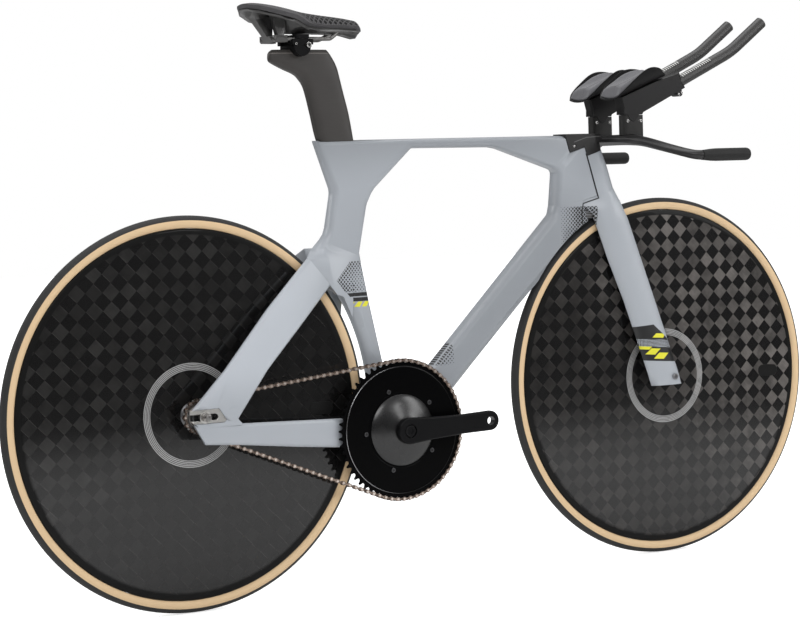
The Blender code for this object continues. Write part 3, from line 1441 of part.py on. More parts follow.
def wedge_shape(grow):
    """The wedge that holds the post, flush with the top tube in front of it."""
    low, high = TOP_TUBE_HEIGHT - 0.012 - grow, TOP_TUBE_HEIGHT - 0.0005
    near, far = 2 * GAP, WEDGE_THICKNESS
    if grow:
        high, near, far = TOP_TUBE_HEIGHT + 0.010, -0.004, WEDGE_THICKNESS + grow
    outline = [
        (post_front(low) + near, low), (post_front(low) + far, low),
        (post_front(high) + far, high), (post_front(high) + near, high),
    ]
    return prism(outline, -0.007 - grow, 0.007 + grow)


def seat_group():
    seatpost = piece("seatpost", post_shape(), POST_FINISH, SEAT_TOP)
    seat_room = cylinder(
        0.0165, TILT_AXIS - SIDE * 0.03, TILT_AXIS + SIDE * 0.03, 24
    )
    cut(seatpost, helper("cradle_room", seat_room))
    frame = bpy.data.objects["frame_main"]
    cut(frame, helper("wedge_room", wedge_shape(GAP)))
    piece("seat_wedge", wedge_shape(0.0), SATIN_BLACK)

    # cradle: a half-round rocker in the post's head with an ear under each rail
    rocker = cylinder(0.0160, TILT_AXIS - SIDE * 0.0265, TILT_AXIS + SIDE * 0.0265, 24)
    tops = rocker.verts[:] + rocker.edges[:] + rocker.faces[:]
    level = TILT_AXIS.z + 0.0075
    done = bmesh.ops.bisect_plane(
        rocker, geom=tops, plane_co=(0, 0, level), plane_no=(0, 0, 1), clear_outer=True
    )
    rim = [e for e in done["geom_cut"] if isinstance(e, bmesh.types.BMEdge)]
    bmesh.ops.contextual_create(rocker, geom=rim)
    cradle = piece("saddle_cradle", rocker, SATIN_BLACK, TILT_AXIS)
    for side, word in ((-1, "right"), (1, "left")):
        x0, x1 = CLAMP_X - 0.020, CLAMP_X + 0.020
        y0, y1 = sorted((side * (RAIL_HALF_SPACING - 0.006), side * (RAIL_HALF_SPACING + 0.006)))
        ear = prism([(x0, level - 0.004), (x1, level - 0.004), (x1, RAIL_Z), (x0, RAIL_Z)], y0, y1)
        groove = cylinder(
            RAIL_RADIUS + GAP, (x0 - 0.01, side * RAIL_HALF_SPACING, RAIL_Z),
            (x1 + 0.01, side * RAIL_HALF_SPACING, RAIL_Z), 12,
        )
        fuse(cradle, helper(f"cradle_ear_{word}", ear))
        cut(cradle, helper(f"cradle_groove_{word}", groove))
    bar = rounded_box(
        CLAMP_X - 0.014, CLAMP_X + 0.014, -RAIL_HALF_SPACING - 0.006, RAIL_HALF_SPACING + 0.006,
        RAIL_Z + 2 * GAP, RAIL_Z + 0.007, 0.004,
    )
    clamp = piece("saddle_clamp", bar, SATIN_BLACK, TILT_AXIS)
    for side, word in ((-1, "right"), (1, "left")):
        groove = cylinder(
            RAIL_RADIUS + GAP, (CLAMP_X - 0.05, side * RAIL_HALF_SPACING, RAIL_Z),
            (CLAMP_X + 0.05, side * RAIL_HALF_SPACING, RAIL_Z), 12,
        )
        cut(clamp, helper(f"clamp_groove_{word}", groove))
    bolt = cylinder(
        0.0030, (CLAMP_X, 0, level + 0.0005), (CLAMP_X, 0, RAIL_Z + 0.0080), 12
    )
    clamp_bolt = piece("saddle_clamp_bolt", bolt, STEEL, TILT_AXIS)
    hole = cylinder(0.0030 + GAP, (CLAMP_X, 0, level), (CLAMP_X, 0, RAIL_Z + 0.02), 12)
    cut(clamp, helper("clamp_bolt_hole", hole))
    fuse(clamp_bolt, helper("clamp_bolt_head", cylinder(
        0.0050, (CLAMP_X, 0, RAIL_Z + 0.0073), (CLAMP_X, 0, RAIL_Z + 0.0089), 12)))
    saddle()


SADDLE_TAIL_X = HEAD_REAR - SADDLE_SETBACK
SADDLE_ACROSS = (-1.0, -0.86, -0.5, 0.0, 0.5, 0.86, 1.0)
SADDLE_STATIONS = (  # share of the length, half width, crown and its fall to the side
    (0.00, 0.34 * SADDLE_HALF_WIDTH, 0.0775, 0.003),
    (0.05, 0.66 * SADDLE_HALF_WIDTH, 0.0785, 0.007),
    (0.17, 0.96 * SADDLE_HALF_WIDTH, 0.0755, 0.013),
    (0.32, 0.94 * SADDLE_HALF_WIDTH, 0.0695, 0.015),
    (0.48, 1.90 * SADDLE_NOSE_HALF, 0.0635, 0.020),
    (0.62, 1.28 * SADDLE_NOSE_HALF, 0.0595, 0.020),
    (0.82, 1.00 * SADDLE_NOSE_HALF, 0.0540, 0.015),
    (0.96, 0.92 * SADDLE_NOSE_HALF, 0.0495, 0.011),
    (1.00, 0.60 * SADDLE_NOSE_HALF, 0.0445, 0.008),
)


def saddle_point(station, across, depth):
    """A point across the saddle, as a share of its half width, under its crown."""
    share, half, crown, fall = station
    x = SADDLE_TAIL_X + share * SADDLE_LENGTH
    z = HEAD_TOP + crown - fall * abs(across) ** 2.4 - depth
    return Vector((x, across * (half - 0.5 * depth), z))


def saddle_sheet(low, high):
    """A sheet that follows the saddle between two depths under its crown."""
    rings = []
    for station in SADDLE_STATIONS:
        over, under = (
            [saddle_point(station, share, depth) for share in SADDLE_ACROSS]
            for depth in (low, high)
        )
        rings.append(over + under[::-1])
    sheet = loft(rings)
    bmesh.ops.triangulate(sheet, faces=sheet.faces, quad_method="FIXED")
    return sheet


def saddle_hull(middle_depth):
    """The deep keel under the shell, whose top lies inside the shell's sheet."""
    rings = []
    keel = HEAD_TOP + 0.0272
    for station, lift in zip(SADDLE_STATIONS[3:8], (0.001, 0.0, 0.0, -0.002, -0.0100)):
        narrow = min(1.0, KEEL_HALF_WIDTH / station[1])
        over = [
            saddle_point(station, share * narrow, middle_depth)
            for share in SADDLE_ACROSS[1:-1]
        ]
        under = [Vector((p.x, 0.80 * p.y, keel + lift)) for p in over]
        rings.append(over + under[::-1])
    hull = loft(rings)
    bmesh.ops.triangulate(hull, faces=hull.faces, quad_method="FIXED")
    return hull


def saddle_yoke():
    """The fin that runs from the tail down to the bar between the rails' sockets."""
    tail = SADDLE_TAIL_X
    rings = []
    for above, fall, rear, front, half in (
        (0.0668, 0.0025, 0.008, 0.036, 0.024), (0.0500, 0, 0.014, 0.033, 0.011),
        (RAIL_HEIGHT + 0.006, 0, 0.031, 0.047, 0.009), (0.0115, 0, 0.040, 0.052, 0.009),
    ):
        back, lead = HEAD_TOP + above, HEAD_TOP + above - fall
        rings.append([
            Vector((tail + rear, -half, back)), Vector((tail + front, -half, lead)),
            Vector((tail + front, half, lead)), Vector((tail + rear, half, back)),
        ])
    return loft(rings)


def saddle():
    pad = SADDLE_PAD_THICKNESS
    piece("saddle_pad", saddle_sheet(0.0, pad), SATIN_BLACK, TILT_AXIS)
    # deep before shallow, so that its facets split as those of the pad above do
    sheet = saddle_sheet(pad + GAP + SADDLE_SHELL_THICKNESS, pad + GAP)
    shell = piece("saddle_shell", sheet, BLACK_CARBON, TILT_AXIS)
    middle = pad + GAP + 0.35 * SADDLE_SHELL_THICKNESS
    fuse(shell, helper("shell_hull", saddle_hull(middle)))
    tail, y = SADDLE_TAIL_X, RAIL_HALF_SPACING
    for side, word in ((-1, "right"), (1, "left")):
        low, high = sorted((side * (y - 0.006), side * (y + 0.006)))
        socket_top = RAIL_Z + 0.006
        strut = prism([
            (tail + 0.0655, HEAD_TOP + 0.0570), (tail + 0.040, HEAD_TOP + 0.0585),
            (tail + 0.050, socket_top), (tail + 0.044, socket_top),
            (tail + 0.044, HEAD_TOP + 0.0115), (tail + 0.069, HEAD_TOP + 0.0115),
            (tail + 0.069, socket_top), (tail + 0.0625, socket_top),
        ], low, high)
        fuse(shell, helper(f"shell_strut_{word}", strut))
    bar = prism([
        (tail + 0.038, HEAD_TOP + 0.0115), (tail + 0.051, HEAD_TOP + 0.0115),
        (tail + 0.051, HEAD_TOP + 0.0215), (tail + 0.034, HEAD_TOP + 0.0215),
    ], -y + 0.005, y - 0.005)
    fuse(shell, helper("shell_yoke", saddle_yoke()), helper("shell_socket_bar", bar))

    rail = RAIL_RADIUS
    bend, end = tail + 0.157, tail + 0.187
    half = [
        (tail + 0.054, y, RAIL_Z), (CLAMP_X - 0.022, y, RAIL_Z), (CLAMP_X + 0.022, y, RAIL_Z),
        (bend - 0.010, y, RAIL_Z), (bend, 0.0190, RAIL_Z + 0.0015),
        (end - 0.013, 0.0125, RAIL_Z + 0.0115), (end - 0.003, 0.0055, RAIL_Z + 0.0150),
    ]
    right = [Vector((x, -y, z)) for x, y, z in half]
    left = [Vector(p) for p in half]
    path = right + [Vector((end, 0, RAIL_Z + 0.0155))] + left[::-1]
    piece("saddle_rails", sweep(path, [(rail, rail)] * len(path), 8), STEEL, TILT_AXIS)
    room = sweep(path, [(rail + GAP, rail + GAP)] * len(path), 8)
    cut(shell, helper("rail_room", room))


rear_wheel()
rear_axle()
front_wheel()
front_axle()
drivetrain()
frame_main()
rear_end()
headset()
fork()
stem()
base_bar()
arm_rest(-1, "right")
arm_rest(1, "left")
seat_group()
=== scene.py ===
"""A track time-trial bicycle in the studio, wearing the finishes of its real pieces.

Everything is in metres around the rear axle: X forward, Y to the rider's left, Z up.
"""

import json
from math import asin, atan2, cos, hypot, pi, radians, sin, sqrt

import bmesh
import bpy
from mathutils import Matrix, Vector


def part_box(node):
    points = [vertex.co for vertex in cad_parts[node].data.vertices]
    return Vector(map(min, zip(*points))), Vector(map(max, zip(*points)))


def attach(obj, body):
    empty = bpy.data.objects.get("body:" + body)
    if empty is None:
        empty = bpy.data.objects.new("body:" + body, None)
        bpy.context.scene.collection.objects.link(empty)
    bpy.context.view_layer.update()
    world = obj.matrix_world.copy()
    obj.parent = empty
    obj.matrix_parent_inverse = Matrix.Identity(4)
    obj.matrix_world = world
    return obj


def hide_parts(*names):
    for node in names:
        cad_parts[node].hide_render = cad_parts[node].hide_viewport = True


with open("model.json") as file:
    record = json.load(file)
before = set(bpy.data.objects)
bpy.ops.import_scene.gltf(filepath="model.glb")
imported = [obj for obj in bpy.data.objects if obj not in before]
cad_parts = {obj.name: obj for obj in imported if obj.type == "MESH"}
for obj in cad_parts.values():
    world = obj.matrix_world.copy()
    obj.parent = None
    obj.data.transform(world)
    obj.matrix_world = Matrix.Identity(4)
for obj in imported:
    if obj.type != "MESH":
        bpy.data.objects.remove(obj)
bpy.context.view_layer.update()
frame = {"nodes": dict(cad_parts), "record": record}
nodes = frame["nodes"]
body_of = {
    node: body
    for body, members in frame["record"]["behaviour"]["bodies"].items()
    for node in members
}
slot_of = {part["node"]: part["material_slot"] for part in frame["record"]["subparts"]}

# The viewpoint: a long lens behind the bicycle's right side, a little above the axles,
# held slightly off level, as the studio photographer had it.
EYE = Vector((-1.703005, -3.615881, 0.391555))
YAW, PITCH, ROLL = 0.530549, 0.0561289, 0.0294251
FOCAL_LENGTH = 107.15
camera = bpy.data.objects.new("camera", bpy.data.cameras.new("camera"))
camera.data.sensor_width = 36
camera.data.lens = FOCAL_LENGTH
camera.matrix_world = Matrix.Translation(EYE) @ (
    Matrix.Rotation(-YAW, 4, "Z")
    @ Matrix.Rotation(pi / 2 - PITCH, 4, "X")
    @ Matrix.Rotation(-ROLL, 4, "Z")
)
bpy.context.scene.collection.objects.link(camera)
bpy.context.scene.camera = camera
bpy.context.scene.view_settings.view_transform = "Standard"


# The studio: a white sweep under large soft boxes. Materials are built with a small
# writer of shader nodes, whose values take part in Python's own sums.
def operator(operation, swapped=False):
    """A method that adds one maths node for a value and another one."""

    def work(self, other=0.0):
        pair = (other, self) if swapped else (self, other)
        inputs = dict(enumerate(pair))
        return self.finish.node("ShaderNodeMath", {"operation": operation}, inputs)

    return work


class Value:
    """A shader socket that Python's operators work on."""

    def __init__(self, finish, socket):
        self.finish = finish
        self.socket = socket

    __add__, __radd__ = operator("ADD"), operator("ADD", True)
    __sub__, __rsub__ = operator("SUBTRACT"), operator("SUBTRACT", True)
    __mul__, __rmul__ = operator("MULTIPLY"), operator("MULTIPLY", True)
    __truediv__, __mod__ = operator("DIVIDE"), operator("FLOORED_MODULO")
    __gt__, __lt__ = operator("GREATER_THAN"), operator("LESS_THAN")
    __pow__, __abs__ = operator("POWER"), operator("ABSOLUTE")
    floor, arctan2 = operator("FLOOR"), operator("ARCTAN2")
    most, least = operator("MAXIMUM"), operator("MINIMUM")

    def beside(self, output):
        """Another output of the same node."""
        return Value(self.finish, self.socket.node.outputs[output])

    def step(self, low, high):
        """0 below low, 1 above high and smooth between them."""
        inputs = {0: self, 1: low, 2: high, 3: 0.0, 4: 1.0}
        return self.finish.node(
            "ShaderNodeMapRange", {"interpolation_type": "SMOOTHSTEP"}, inputs
        )


class Nodes:
    """Adds nodes to a tree. A node is given its type, its settings and its inputs."""

    def __init__(self, tree):
        self.tree = tree

    def node(self, kind, settings=None, inputs=None, output=0):
        made = self.tree.nodes.new(kind)
        for key, value in (settings or {}).items():
            setattr(made, key, value)
        for key, value in (inputs or {}).items():
            self.feed(made.inputs[key], value)
        return Value(self, made.outputs[output])

    def feed(self, socket, value):
        """Links a value, or sets a plain one. One number for a colour is a grey."""
        if isinstance(value, Value):
            self.tree.links.new(value.socket, socket)
        elif socket.type == "RGBA":
            colour = value if isinstance(value, tuple) else (value,) * 3
            socket.default_value = (*colour, 1.0)
        else:
            socket.default_value = value

    def split(self, vector):
        made = self.node("ShaderNodeSeparateXYZ", {}, {0: vector})
        return [made.beside(i) for i in range(3)]

    def mix(self, share, first, second):
        inputs = {0: share, 6: first, 7: second}
        return self.node("ShaderNodeMix", {"data_type": "RGBA"}, inputs, 2)


class Finish(Nodes):
    """A material: plain values and links for the surface shader's sockets."""

    def __init__(self, name, **surface):
        self.material = bpy.data.materials.new(name)
        self.material.use_nodes = True
        super().__init__(self.material.node_tree)
        self.shader = self.tree.nodes["Principled BSDF"]
        self.surface(**surface)

    def surface(self, **surface):
        for key, value in surface.items():
            title = key.replace("_", " ").title().replace("Ior", "IOR")
            self.feed(self.shader.inputs[title], value)

    def place(self, centre=(0, 0, 0)):
        """(vector, x, y, z) of the piece's own coordinates, from the centre."""
        point = self.node("ShaderNodeTexCoord", output=3)
        inputs = {"Vector": point, "Location": tuple(-Vector(centre))}
        moved = self.node("ShaderNodeMapping", {}, inputs)
        return (moved, *self.split(moved))

    def join(self, x, y, z):
        return self.node("ShaderNodeCombineXYZ", {}, {0: x, 1: y, 2: z})

    def noise(self, vector, scale, detail=2.0, roughness=0.5):
        inputs = {"Vector": vector, "Scale": scale}
        inputs |= {"Detail": detail, "Roughness": roughness}
        return self.node("ShaderNodeTexNoise", {}, inputs)

    def bump(self, height, strength, distance):
        inputs = {"Strength": strength, "Distance": distance, "Height": height}
        return self.node("ShaderNodeBump", {}, inputs)


def linked(name, data):
    obj = bpy.data.objects.new(name, data)
    bpy.context.scene.collection.objects.link(obj)
    return obj


def built(name, bm):
    """The bmesh as an object, as it is."""
    mesh = bpy.data.meshes.new(name)
    bm.to_mesh(mesh)
    bm.free()
    return linked(name, mesh)


FLOOR_Z = -0.334
paper = Finish("white_paper", roughness=0.9)
_, x, y, _ = paper.place((0.5, 0, 0))
far = ((x * x + y * y) ** 0.5).step(1.3, 3.2)
ray = paper.node("ShaderNodeLightPath", output=0)
paper.surface(
    base_color=paper.mix(ray.beside(3) * far, 0.86, 0.05),
    emission_color=1.0, emission_strength=ray * (0.62 + far * 0.40),
)
bm = bmesh.new()
bmesh.ops.create_grid(bm, x_segments=8, y_segments=8, size=14)
bmesh.ops.translate(bm, verts=bm.verts, vec=(0.5, 0, FLOOR_Z - 0.0004))
sweep = built("paper_sweep", bm)
sweep.data.materials.append(paper.material)

world = bpy.data.worlds.new("studio")
bpy.context.scene.world = world
world.use_nodes = True
sky = Nodes(world.node_tree)
seen = sky.node("ShaderNodeLightPath", output=0)
mirrored, through = seen.beside(3), seen.beside(6)
_, _, height = sky.split(sky.node("ShaderNodeTexCoord", output=0))
dome = height.step(0.02, 0.85) * 0.42 + 0.055 + (1 - mirrored) * 0.13
back = world.node_tree.nodes["Background"]
sky.feed(back.inputs["Color"], 1.0)
sky.feed(back.inputs["Strength"], seen + (1 - seen) * (through + (1 - through) * dome))

for name, at, size, power in (
    ("key_box", (-1.6, -3.4, 2.6), (2.4, 1.6), 54),
    ("side_box", (3.2, -2.2, 1.6), (1.2, 2.2), 34),
    ("top_box", (0.5, 0.4, 3.0), (3.2, 1.8), 44),
    ("rear_box", (-2.6, 2.6, 1.8), (1.6, 1.6), 30),
    ("glint_box", (1.5, -3.1, 1.5), (0.5, 0.4), 9),
):
    lamp = bpy.data.lights.new(name, "AREA")
    lamp.shape = "RECTANGLE"
    lamp.size, lamp.size_y = size
    lamp.energy = power
    box = linked(name, lamp)
    box.location = at
    aim = Vector((0.5, 0, 0.1)) - Vector(at)
    box.rotation_euler = aim.to_track_quat("-Z", "Y").to_euler()


# The frame and fork: moulded carbon shells under satin grey-blue paint. A lattice of
# black diamonds fades in at the tubes' ends, and thin bands cross the lower seat tube.
def cleaned_copy(node):
    """The CAD node's mesh with its loose triangles joined up, as a bmesh."""
    bm = bmesh.new()
    bm.from_mesh(nodes[node].data)
    bmesh.ops.remove_doubles(bm, verts=bm.verts, dist=0.00001)
    return bm


def settle(obj, finish, body, slot, *replaced):
    """Gives a finished piece its material, its body and what it stands for."""
    obj.data.materials.clear()
    obj.data.materials.append(finish.material)
    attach(obj, body)
    if replaced:
        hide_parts(*replaced)
    return obj


def shaded(obj, sharp=40.0, bevel=0.0, segments=2):
    """Smooth shading with crisp folds, and fine rounded edges where asked."""
    obj.data.shade_smooth()
    obj.data.set_sharp_from_angle(angle=radians(sharp))
    if bevel:
        rounding = obj.modifiers.new("edges", "BEVEL")
        rounding.width = bevel
        rounding.segments = segments
        rounding.limit_method = "ANGLE"
        rounding.angle_limit = radians(sharp)
        rounding.harden_normals = True
    obj.modifiers.new("normals", "WEIGHTED_NORMAL").keep_sharp = True
    return obj


def dressed(node, finish, sharp=40.0, bevel=0.0, flat=0.0, segments=2):
    """A refined stand-in for a CAD node, on the same body."""
    bm = cleaned_copy(node)
    if flat:
        bmesh.ops.dissolve_limit(
            bm, angle_limit=radians(flat), verts=bm.verts, edges=bm.edges
        )
    obj = shaded(built(node + "_skin", bm), sharp, bevel, segments)
    return settle(obj, finish, body_of[node], slot_of[node], node)


def finished(name, bm):
    """The bmesh as an object with its faces pointing outwards."""
    bmesh.ops.recalc_face_normals(bm, faces=bm.faces)
    return built(name, bm)


def worked_out(obj):
    """The object's mesh with its modifiers or its curve worked out."""
    bpy.context.view_layer.update()
    graph = bpy.context.evaluated_depsgraph_get()
    return bpy.data.meshes.new_from_object(obj.evaluated_get(graph))


def carved(obj, *cutters):
    """Cuts finished shapes out of a piece and removes them."""
    for cutter in cutters:
        step = obj.modifiers.new("cut", "BOOLEAN")
        step.operation = "DIFFERENCE"
        step.solver = "EXACT"
        step.object = cutter
    mesh = worked_out(obj)
    obj.modifiers.clear()
    obj.data = mesh
    for cutter in cutters:
        bpy.data.objects.remove(cutter)
    return obj


def extruded(bm, faces):
    """Gives flat faces a second side and returns its points, to be moved away."""
    made = bmesh.ops.extrude_face_region(bm, geom=faces)
    return [v for v in made["geom"] if isinstance(v, bmesh.types.BMVert)]


def slab(outline, y, thick):
    """A flat shape of the side view at y with its thickness along Y, as a bmesh."""
    bm = bmesh.new()
    face = bm.faces.new([bm.verts.new((x, y, z)) for x, z in outline])
    bmesh.ops.translate(bm, verts=extruded(bm, [face]), vec=(0, thick, 0))
    return bm


def times(colour, factor):
    return tuple(factor * share for share in colour)


PAINT_COLOUR = (0.41, 0.437, 0.475)
PRINT_BLACK = (0.012, 0.012, 0.013)
FLASH_YELLOW = (0.80, 0.76, 0.03)
LATTICE_STEP = 0.0052


def beside_line(x, z, start, end):
    """(along, right, length): a point of the side view against a line in it."""
    length = hypot(end[0] - start[0], end[1] - start[1])
    ux, uz = (end[0] - start[0]) / length, (end[1] - start[1]) / length
    dx, dz = x - start[0], z - start[1]
    return dx * ux + dz * uz, dx * uz - dz * ux, length


def stroke(x, z, start, end, half):
    """1 on a straight printed line between two points of the side view."""
    along, off, length = beside_line(x, z, start, end)
    return (abs(off) < half) * (abs(along - length / 2) < length / 2 + half * 0.8)


def right_of(x, z, start, end):
    """How far a point lies to the right of a line in the side view, in metres."""
    return beside_line(x, z, start, end)[1]


def lattice(x, z, strength):
    """Small black diamonds on a lattice. They shrink as the strength falls to 0."""
    u, v = (x + z) * (0.7071 / LATTICE_STEP), (x - z) * (0.7071 / LATTICE_STEP)
    spot = abs(u % 1.0 - 0.5).most(abs(v % 1.0 - 0.5))
    return (spot < strength * 0.30 + 0.10) * (strength > 0.02)


def prints(x, z):
    """(black, yellow) masks of the prints on the frame and the fork's legs."""
    rear = right_of(x, z, (0.2768, 0.2126), (0.3082, 0.2450))
    fore = right_of(x, z, (0.2953, 0.1920), (0.2768, 0.2126))
    edge = rear.least(fore)
    seat = (edge > 0) * (z > 0.1915) * (z < 0.2440) * (x < 0.42)
    black = seat * lattice(x, z, (1 - edge * (1 / 0.050)).most(0.0))
    crown = (x > 0.7535) * (x < 0.83) * (z < 0.3235) * (z > 0.2550)
    black = black.most(crown * lattice(x, z, ((x - 0.7500) * (1 / 0.040)).least(1.0)))
    upper = right_of(x, z, (0.4720, 0.0513), (0.5143, 0.0980))
    low = (x < 0.5150) * (z > 0.0520) * (z < 0.102) * (x > 0.44)
    black = black.most(low * lattice(x, z, (0.95 - upper * (1 / 0.036)).most(0.0)))
    slash = (x - z * 0.75) * (1 / 0.0150) % 1.0 < 0.64
    seat_zone = (x > 0.290) * (x < 0.380)
    slant = right_of(x, z, (0.3045, 0.1840), (0.2995, 0.1892)) > 0
    black = black.most(seat_zone * (abs(z - 0.1862) < 0.0032) * slant)
    black = black.most(seat_zone * (abs(z - 0.1775) < 0.0034) * (x > 0.3160))
    yellow = seat_zone * (abs(z - 0.1690) < 0.0046) * (x > 0.3130) * slash
    leg = (x > 0.86) * (z < 0.12)
    way = z + (x - 0.9300) * 0.08
    field = leg * (way > 0.0325) * (z - (x - 0.8881) * 0.07 < 0.0958)
    field = field * (z + (x - 0.9408) * 0.85 < 0.0995)
    strip = abs(way - 0.0655) < 0.0070
    dots = ((x + z) * 200 % 1.0 < 0.5) * 1.0 + ((x - z) * 200 % 1.0 < 0.5)
    black = black.most(field * (1 - strip) + field * strip * (abs(dots - 1) < 0.5))
    lean = x - (way - 0.0500) * 1.1
    for height, half, start, end in (
        (0.0800, 0.0040, 0.9080, 0.9330), (0.0560, 0.0028, 0.9000, 0.9250),
        (0.0500, 0.0058, 0.9270, 0.9470), (0.0425, 0.0058, 0.9520, 0.9740),
    ):
        bar = (abs(way - height) < half) * (lean > start) * (lean < end)
        yellow = yellow.most(field * bar)
    for start, end in (
        ((0.8120, 0.4195), (0.8363, 0.3380)), ((0.8363, 0.3380), (0.8030, 0.3290)),
        ((0.8030, 0.3290), (0.7995, 0.3120)), ((0.7995, 0.3120), (0.8007, 0.2914)),
    ):
        black = black.most(stroke(x, z, start, end, 0.0012))
    return black * (1 - yellow), yellow


def paint():
    """Satin paint with a fine flake and a faint ripple, under the printed marks. Painted
    shade darkens the top and down tubes, and painted light brightens the rear triangle."""
    finish = Finish("grey_paint", coat_weight=0.30, coat_roughness=0.20)
    vector, x, y, z = finish.place()
    flake = finish.noise(vector, 2600, 1).step(0.35, 0.75)
    cloud = finish.noise(vector, 9, 3)
    top_tube_shade = z.step(0.36, 0.47) * (1 - x.step(0.80, 0.90))
    down_tube_shade = x.step(0.20, 0.60) * (1 - x.step(0.72, 0.86)) * (1 - z.step(0.30, 0.42))
    stays = (1 - x.step(0.16, 0.27)) * z.step(0.0, 0.08)
    colour = finish.mix(flake * 0.10, PAINT_COLOUR, times(PAINT_COLOUR, 1.18))
    # The cloud is the paint's own uneven tone. The other masks are painted shade on the top
    # and down tubes and painted light on the rear triangle.
    for share, factor in (
        (cloud * 0.08, 0.86), (top_tube_shade * 0.55, 0.45), (down_tube_shade * 0.8, 0.64),
        (stays * 0.8, 1.28),
    ):
        colour = finish.mix(share, colour, times(PAINT_COLOUR, factor))
    black, yellow = prints(x, z)
    port = (y * (1 / 0.0075)) ** 2 + ((z - 0.3821) * (1 / 0.0090)) ** 2
    port = (port < 1) * (x > 0.853) * (x < 0.90)
    colour = finish.mix(black.most(port), colour, PRINT_BLACK)
    colour = finish.mix(yellow, colour, FLASH_YELLOW)
    ripple = finish.noise(vector, 160, 2)
    finish.surface(
        base_color=colour,
        roughness=0.36 + cloud * 0.10,
        normal=finish.bump(ripple - port * 6, 0.05, 0.0006),
    )
    return finish


grey_paint = paint()
dressed("fork", grey_paint, sharp=42)
shell = dressed("frame_main", grey_paint, sharp=42)

BELLY = Vector((0.5189, 0, 0.0094))
BELLY_WAY, BELLY_OUT = Vector((0.7048, 0, 0.7094)), Vector((0.7094, 0, -0.7048))
edge = [(0.0080, 0.0), (0.0125, -0.0028), (0.0160, -0.0068), (0.0178, -0.0110),
        (0.0192, -0.0165), (0.05, -0.0165), (0.05, 0.09)]
edge += [(-y, out) for y, out in reversed(edge)]
bm = bmesh.new()
face = bm.faces.new(
    [bm.verts.new(BELLY + Vector((0, y, 0)) + BELLY_OUT * out) for y, out in edge]
)
for v in extruded(bm, [face]):
    inward = (v.co - BELLY).dot(BELLY_OUT)
    v.co += BELLY_WAY * 0.2585 - BELLY_OUT * min(inward, 0)
bmesh.ops.triangulate(bm, faces=bm.faces)
belly_room = finished("belly_room", bm)

WHEEL_ROOM = 0.3472
bm = bmesh.new()
rings = []
taper = [(0.0, 0.0), (0.006, 0.002), (0.010, 0.006), (0.014, 0.014), (0.018, 0.027),
         (0.021, 0.030)]
edge = [(y, WHEEL_ROOM + back) for y, back in taper]
edge = [(-y, r) for y, r in reversed(edge[1:])] + edge + [(0.021, 0.33), (-0.021, 0.33)]
for k in range(31):
    a = radians(4.6 + 29.6 * k / 30)
    rings.append([bm.verts.new((r * cos(a), y, r * sin(a))) for y, r in edge])
for first, second in zip(rings, rings[1:]):
    for k in range(len(edge)):
        j = (k + 1) % len(edge)
        bm.faces.new((first[k], first[j], second[j], second[k]))
bm.faces.new(list(reversed(rings[0])))
bm.faces.new(rings[-1])
bmesh.ops.recalc_face_normals(bm, faces=bm.faces)
bmesh.ops.triangulate(bm, faces=bm.faces)
for v in shell.data.vertices:
    rise = max(0.0, (v.co.z - 0.375) / 0.079)
    v.co.x -= 0.0085 * rise * min(1.0, max(0.0, (0.312 - v.co.x) / 0.04))
shaded(carved(shell, belly_room, finished("wheel_room", bm)), 42)

# The corner webs: the stays grow together round each track end, in the same paint.
# The four stays beside them wear it too.
WEB = [
    (-0.0170, -0.0108), (0.0345, -0.0108), (0.0405, -0.0060), (0.0450, 0.0120),
    (0.0610, 0.0120), (0.0581, 0.0041), (0.0578, 0.0003), (0.0592, -0.0047),
    (0.0625, -0.0096), (0.0672, -0.0140), (0.0672, -0.0175), (-0.0130, -0.0175),
]
SIDES = ((-1, "right"), (1, "left"))
for side, word in SIDES:
    bm = slab(WEB, side * 0.0674, -side * 0.0088)
    bmesh.ops.triangulate(bm, faces=bm.faces)
    settle(shaded(finished(f"stay_web_{word}", bm), 40), grey_paint, "frame", "grey_paint")
for node in ("seat_stay_left", "seat_stay_right", "chain_stay_left", "chain_stay_right"):
    dressed(node, grey_paint, sharp=60)

# The wheels: hollow carbon discs in a chequered tow weave under clear gloss, with a slim
# dark rim edge. Tubular tyres with bare tan sidewalls are glued round them.
TYRE_MIDDLE = 0.322
TYRE_HALF = 0.012
TAN_INNER, TAN_OUTER = 0.3126, 0.326
RIM_RADIUS = 0.3085
AXLES = {"rear": Vector((0, 0, 0)), "front": Vector((0.983, 0, 0))}


def turned(name, outline, centre, steps=160, closed=True):
    """A body turned about a line along Y. The outline is (radius, y) points in order."""
    bm = bmesh.new()
    corners = [bm.verts.new((r, y, 0)) for r, y in outline]
    pairs = list(zip(corners, corners[1:]))
    if closed:
        pairs.append((corners[-1], corners[0]))
    edges = [bm.edges.new(pair) for pair in pairs]
    bmesh.ops.spin(
        bm, geom=corners + edges, cent=(0, 0, 0), axis=(0, 1, 0),
        angle=2 * pi, steps=steps, use_merge=True,
    )
    bmesh.ops.remove_doubles(bm, verts=bm.verts, dist=0.000001)
    bmesh.ops.recalc_face_normals(bm, faces=bm.faces)
    bmesh.ops.translate(bm, verts=bm.verts, vec=centre)
    return built(name, bm)


def mirrored_across(points):
    """An outline's points and then their mirror images, back to the start."""
    return points + [(r, -y) for r, y in reversed(points)]


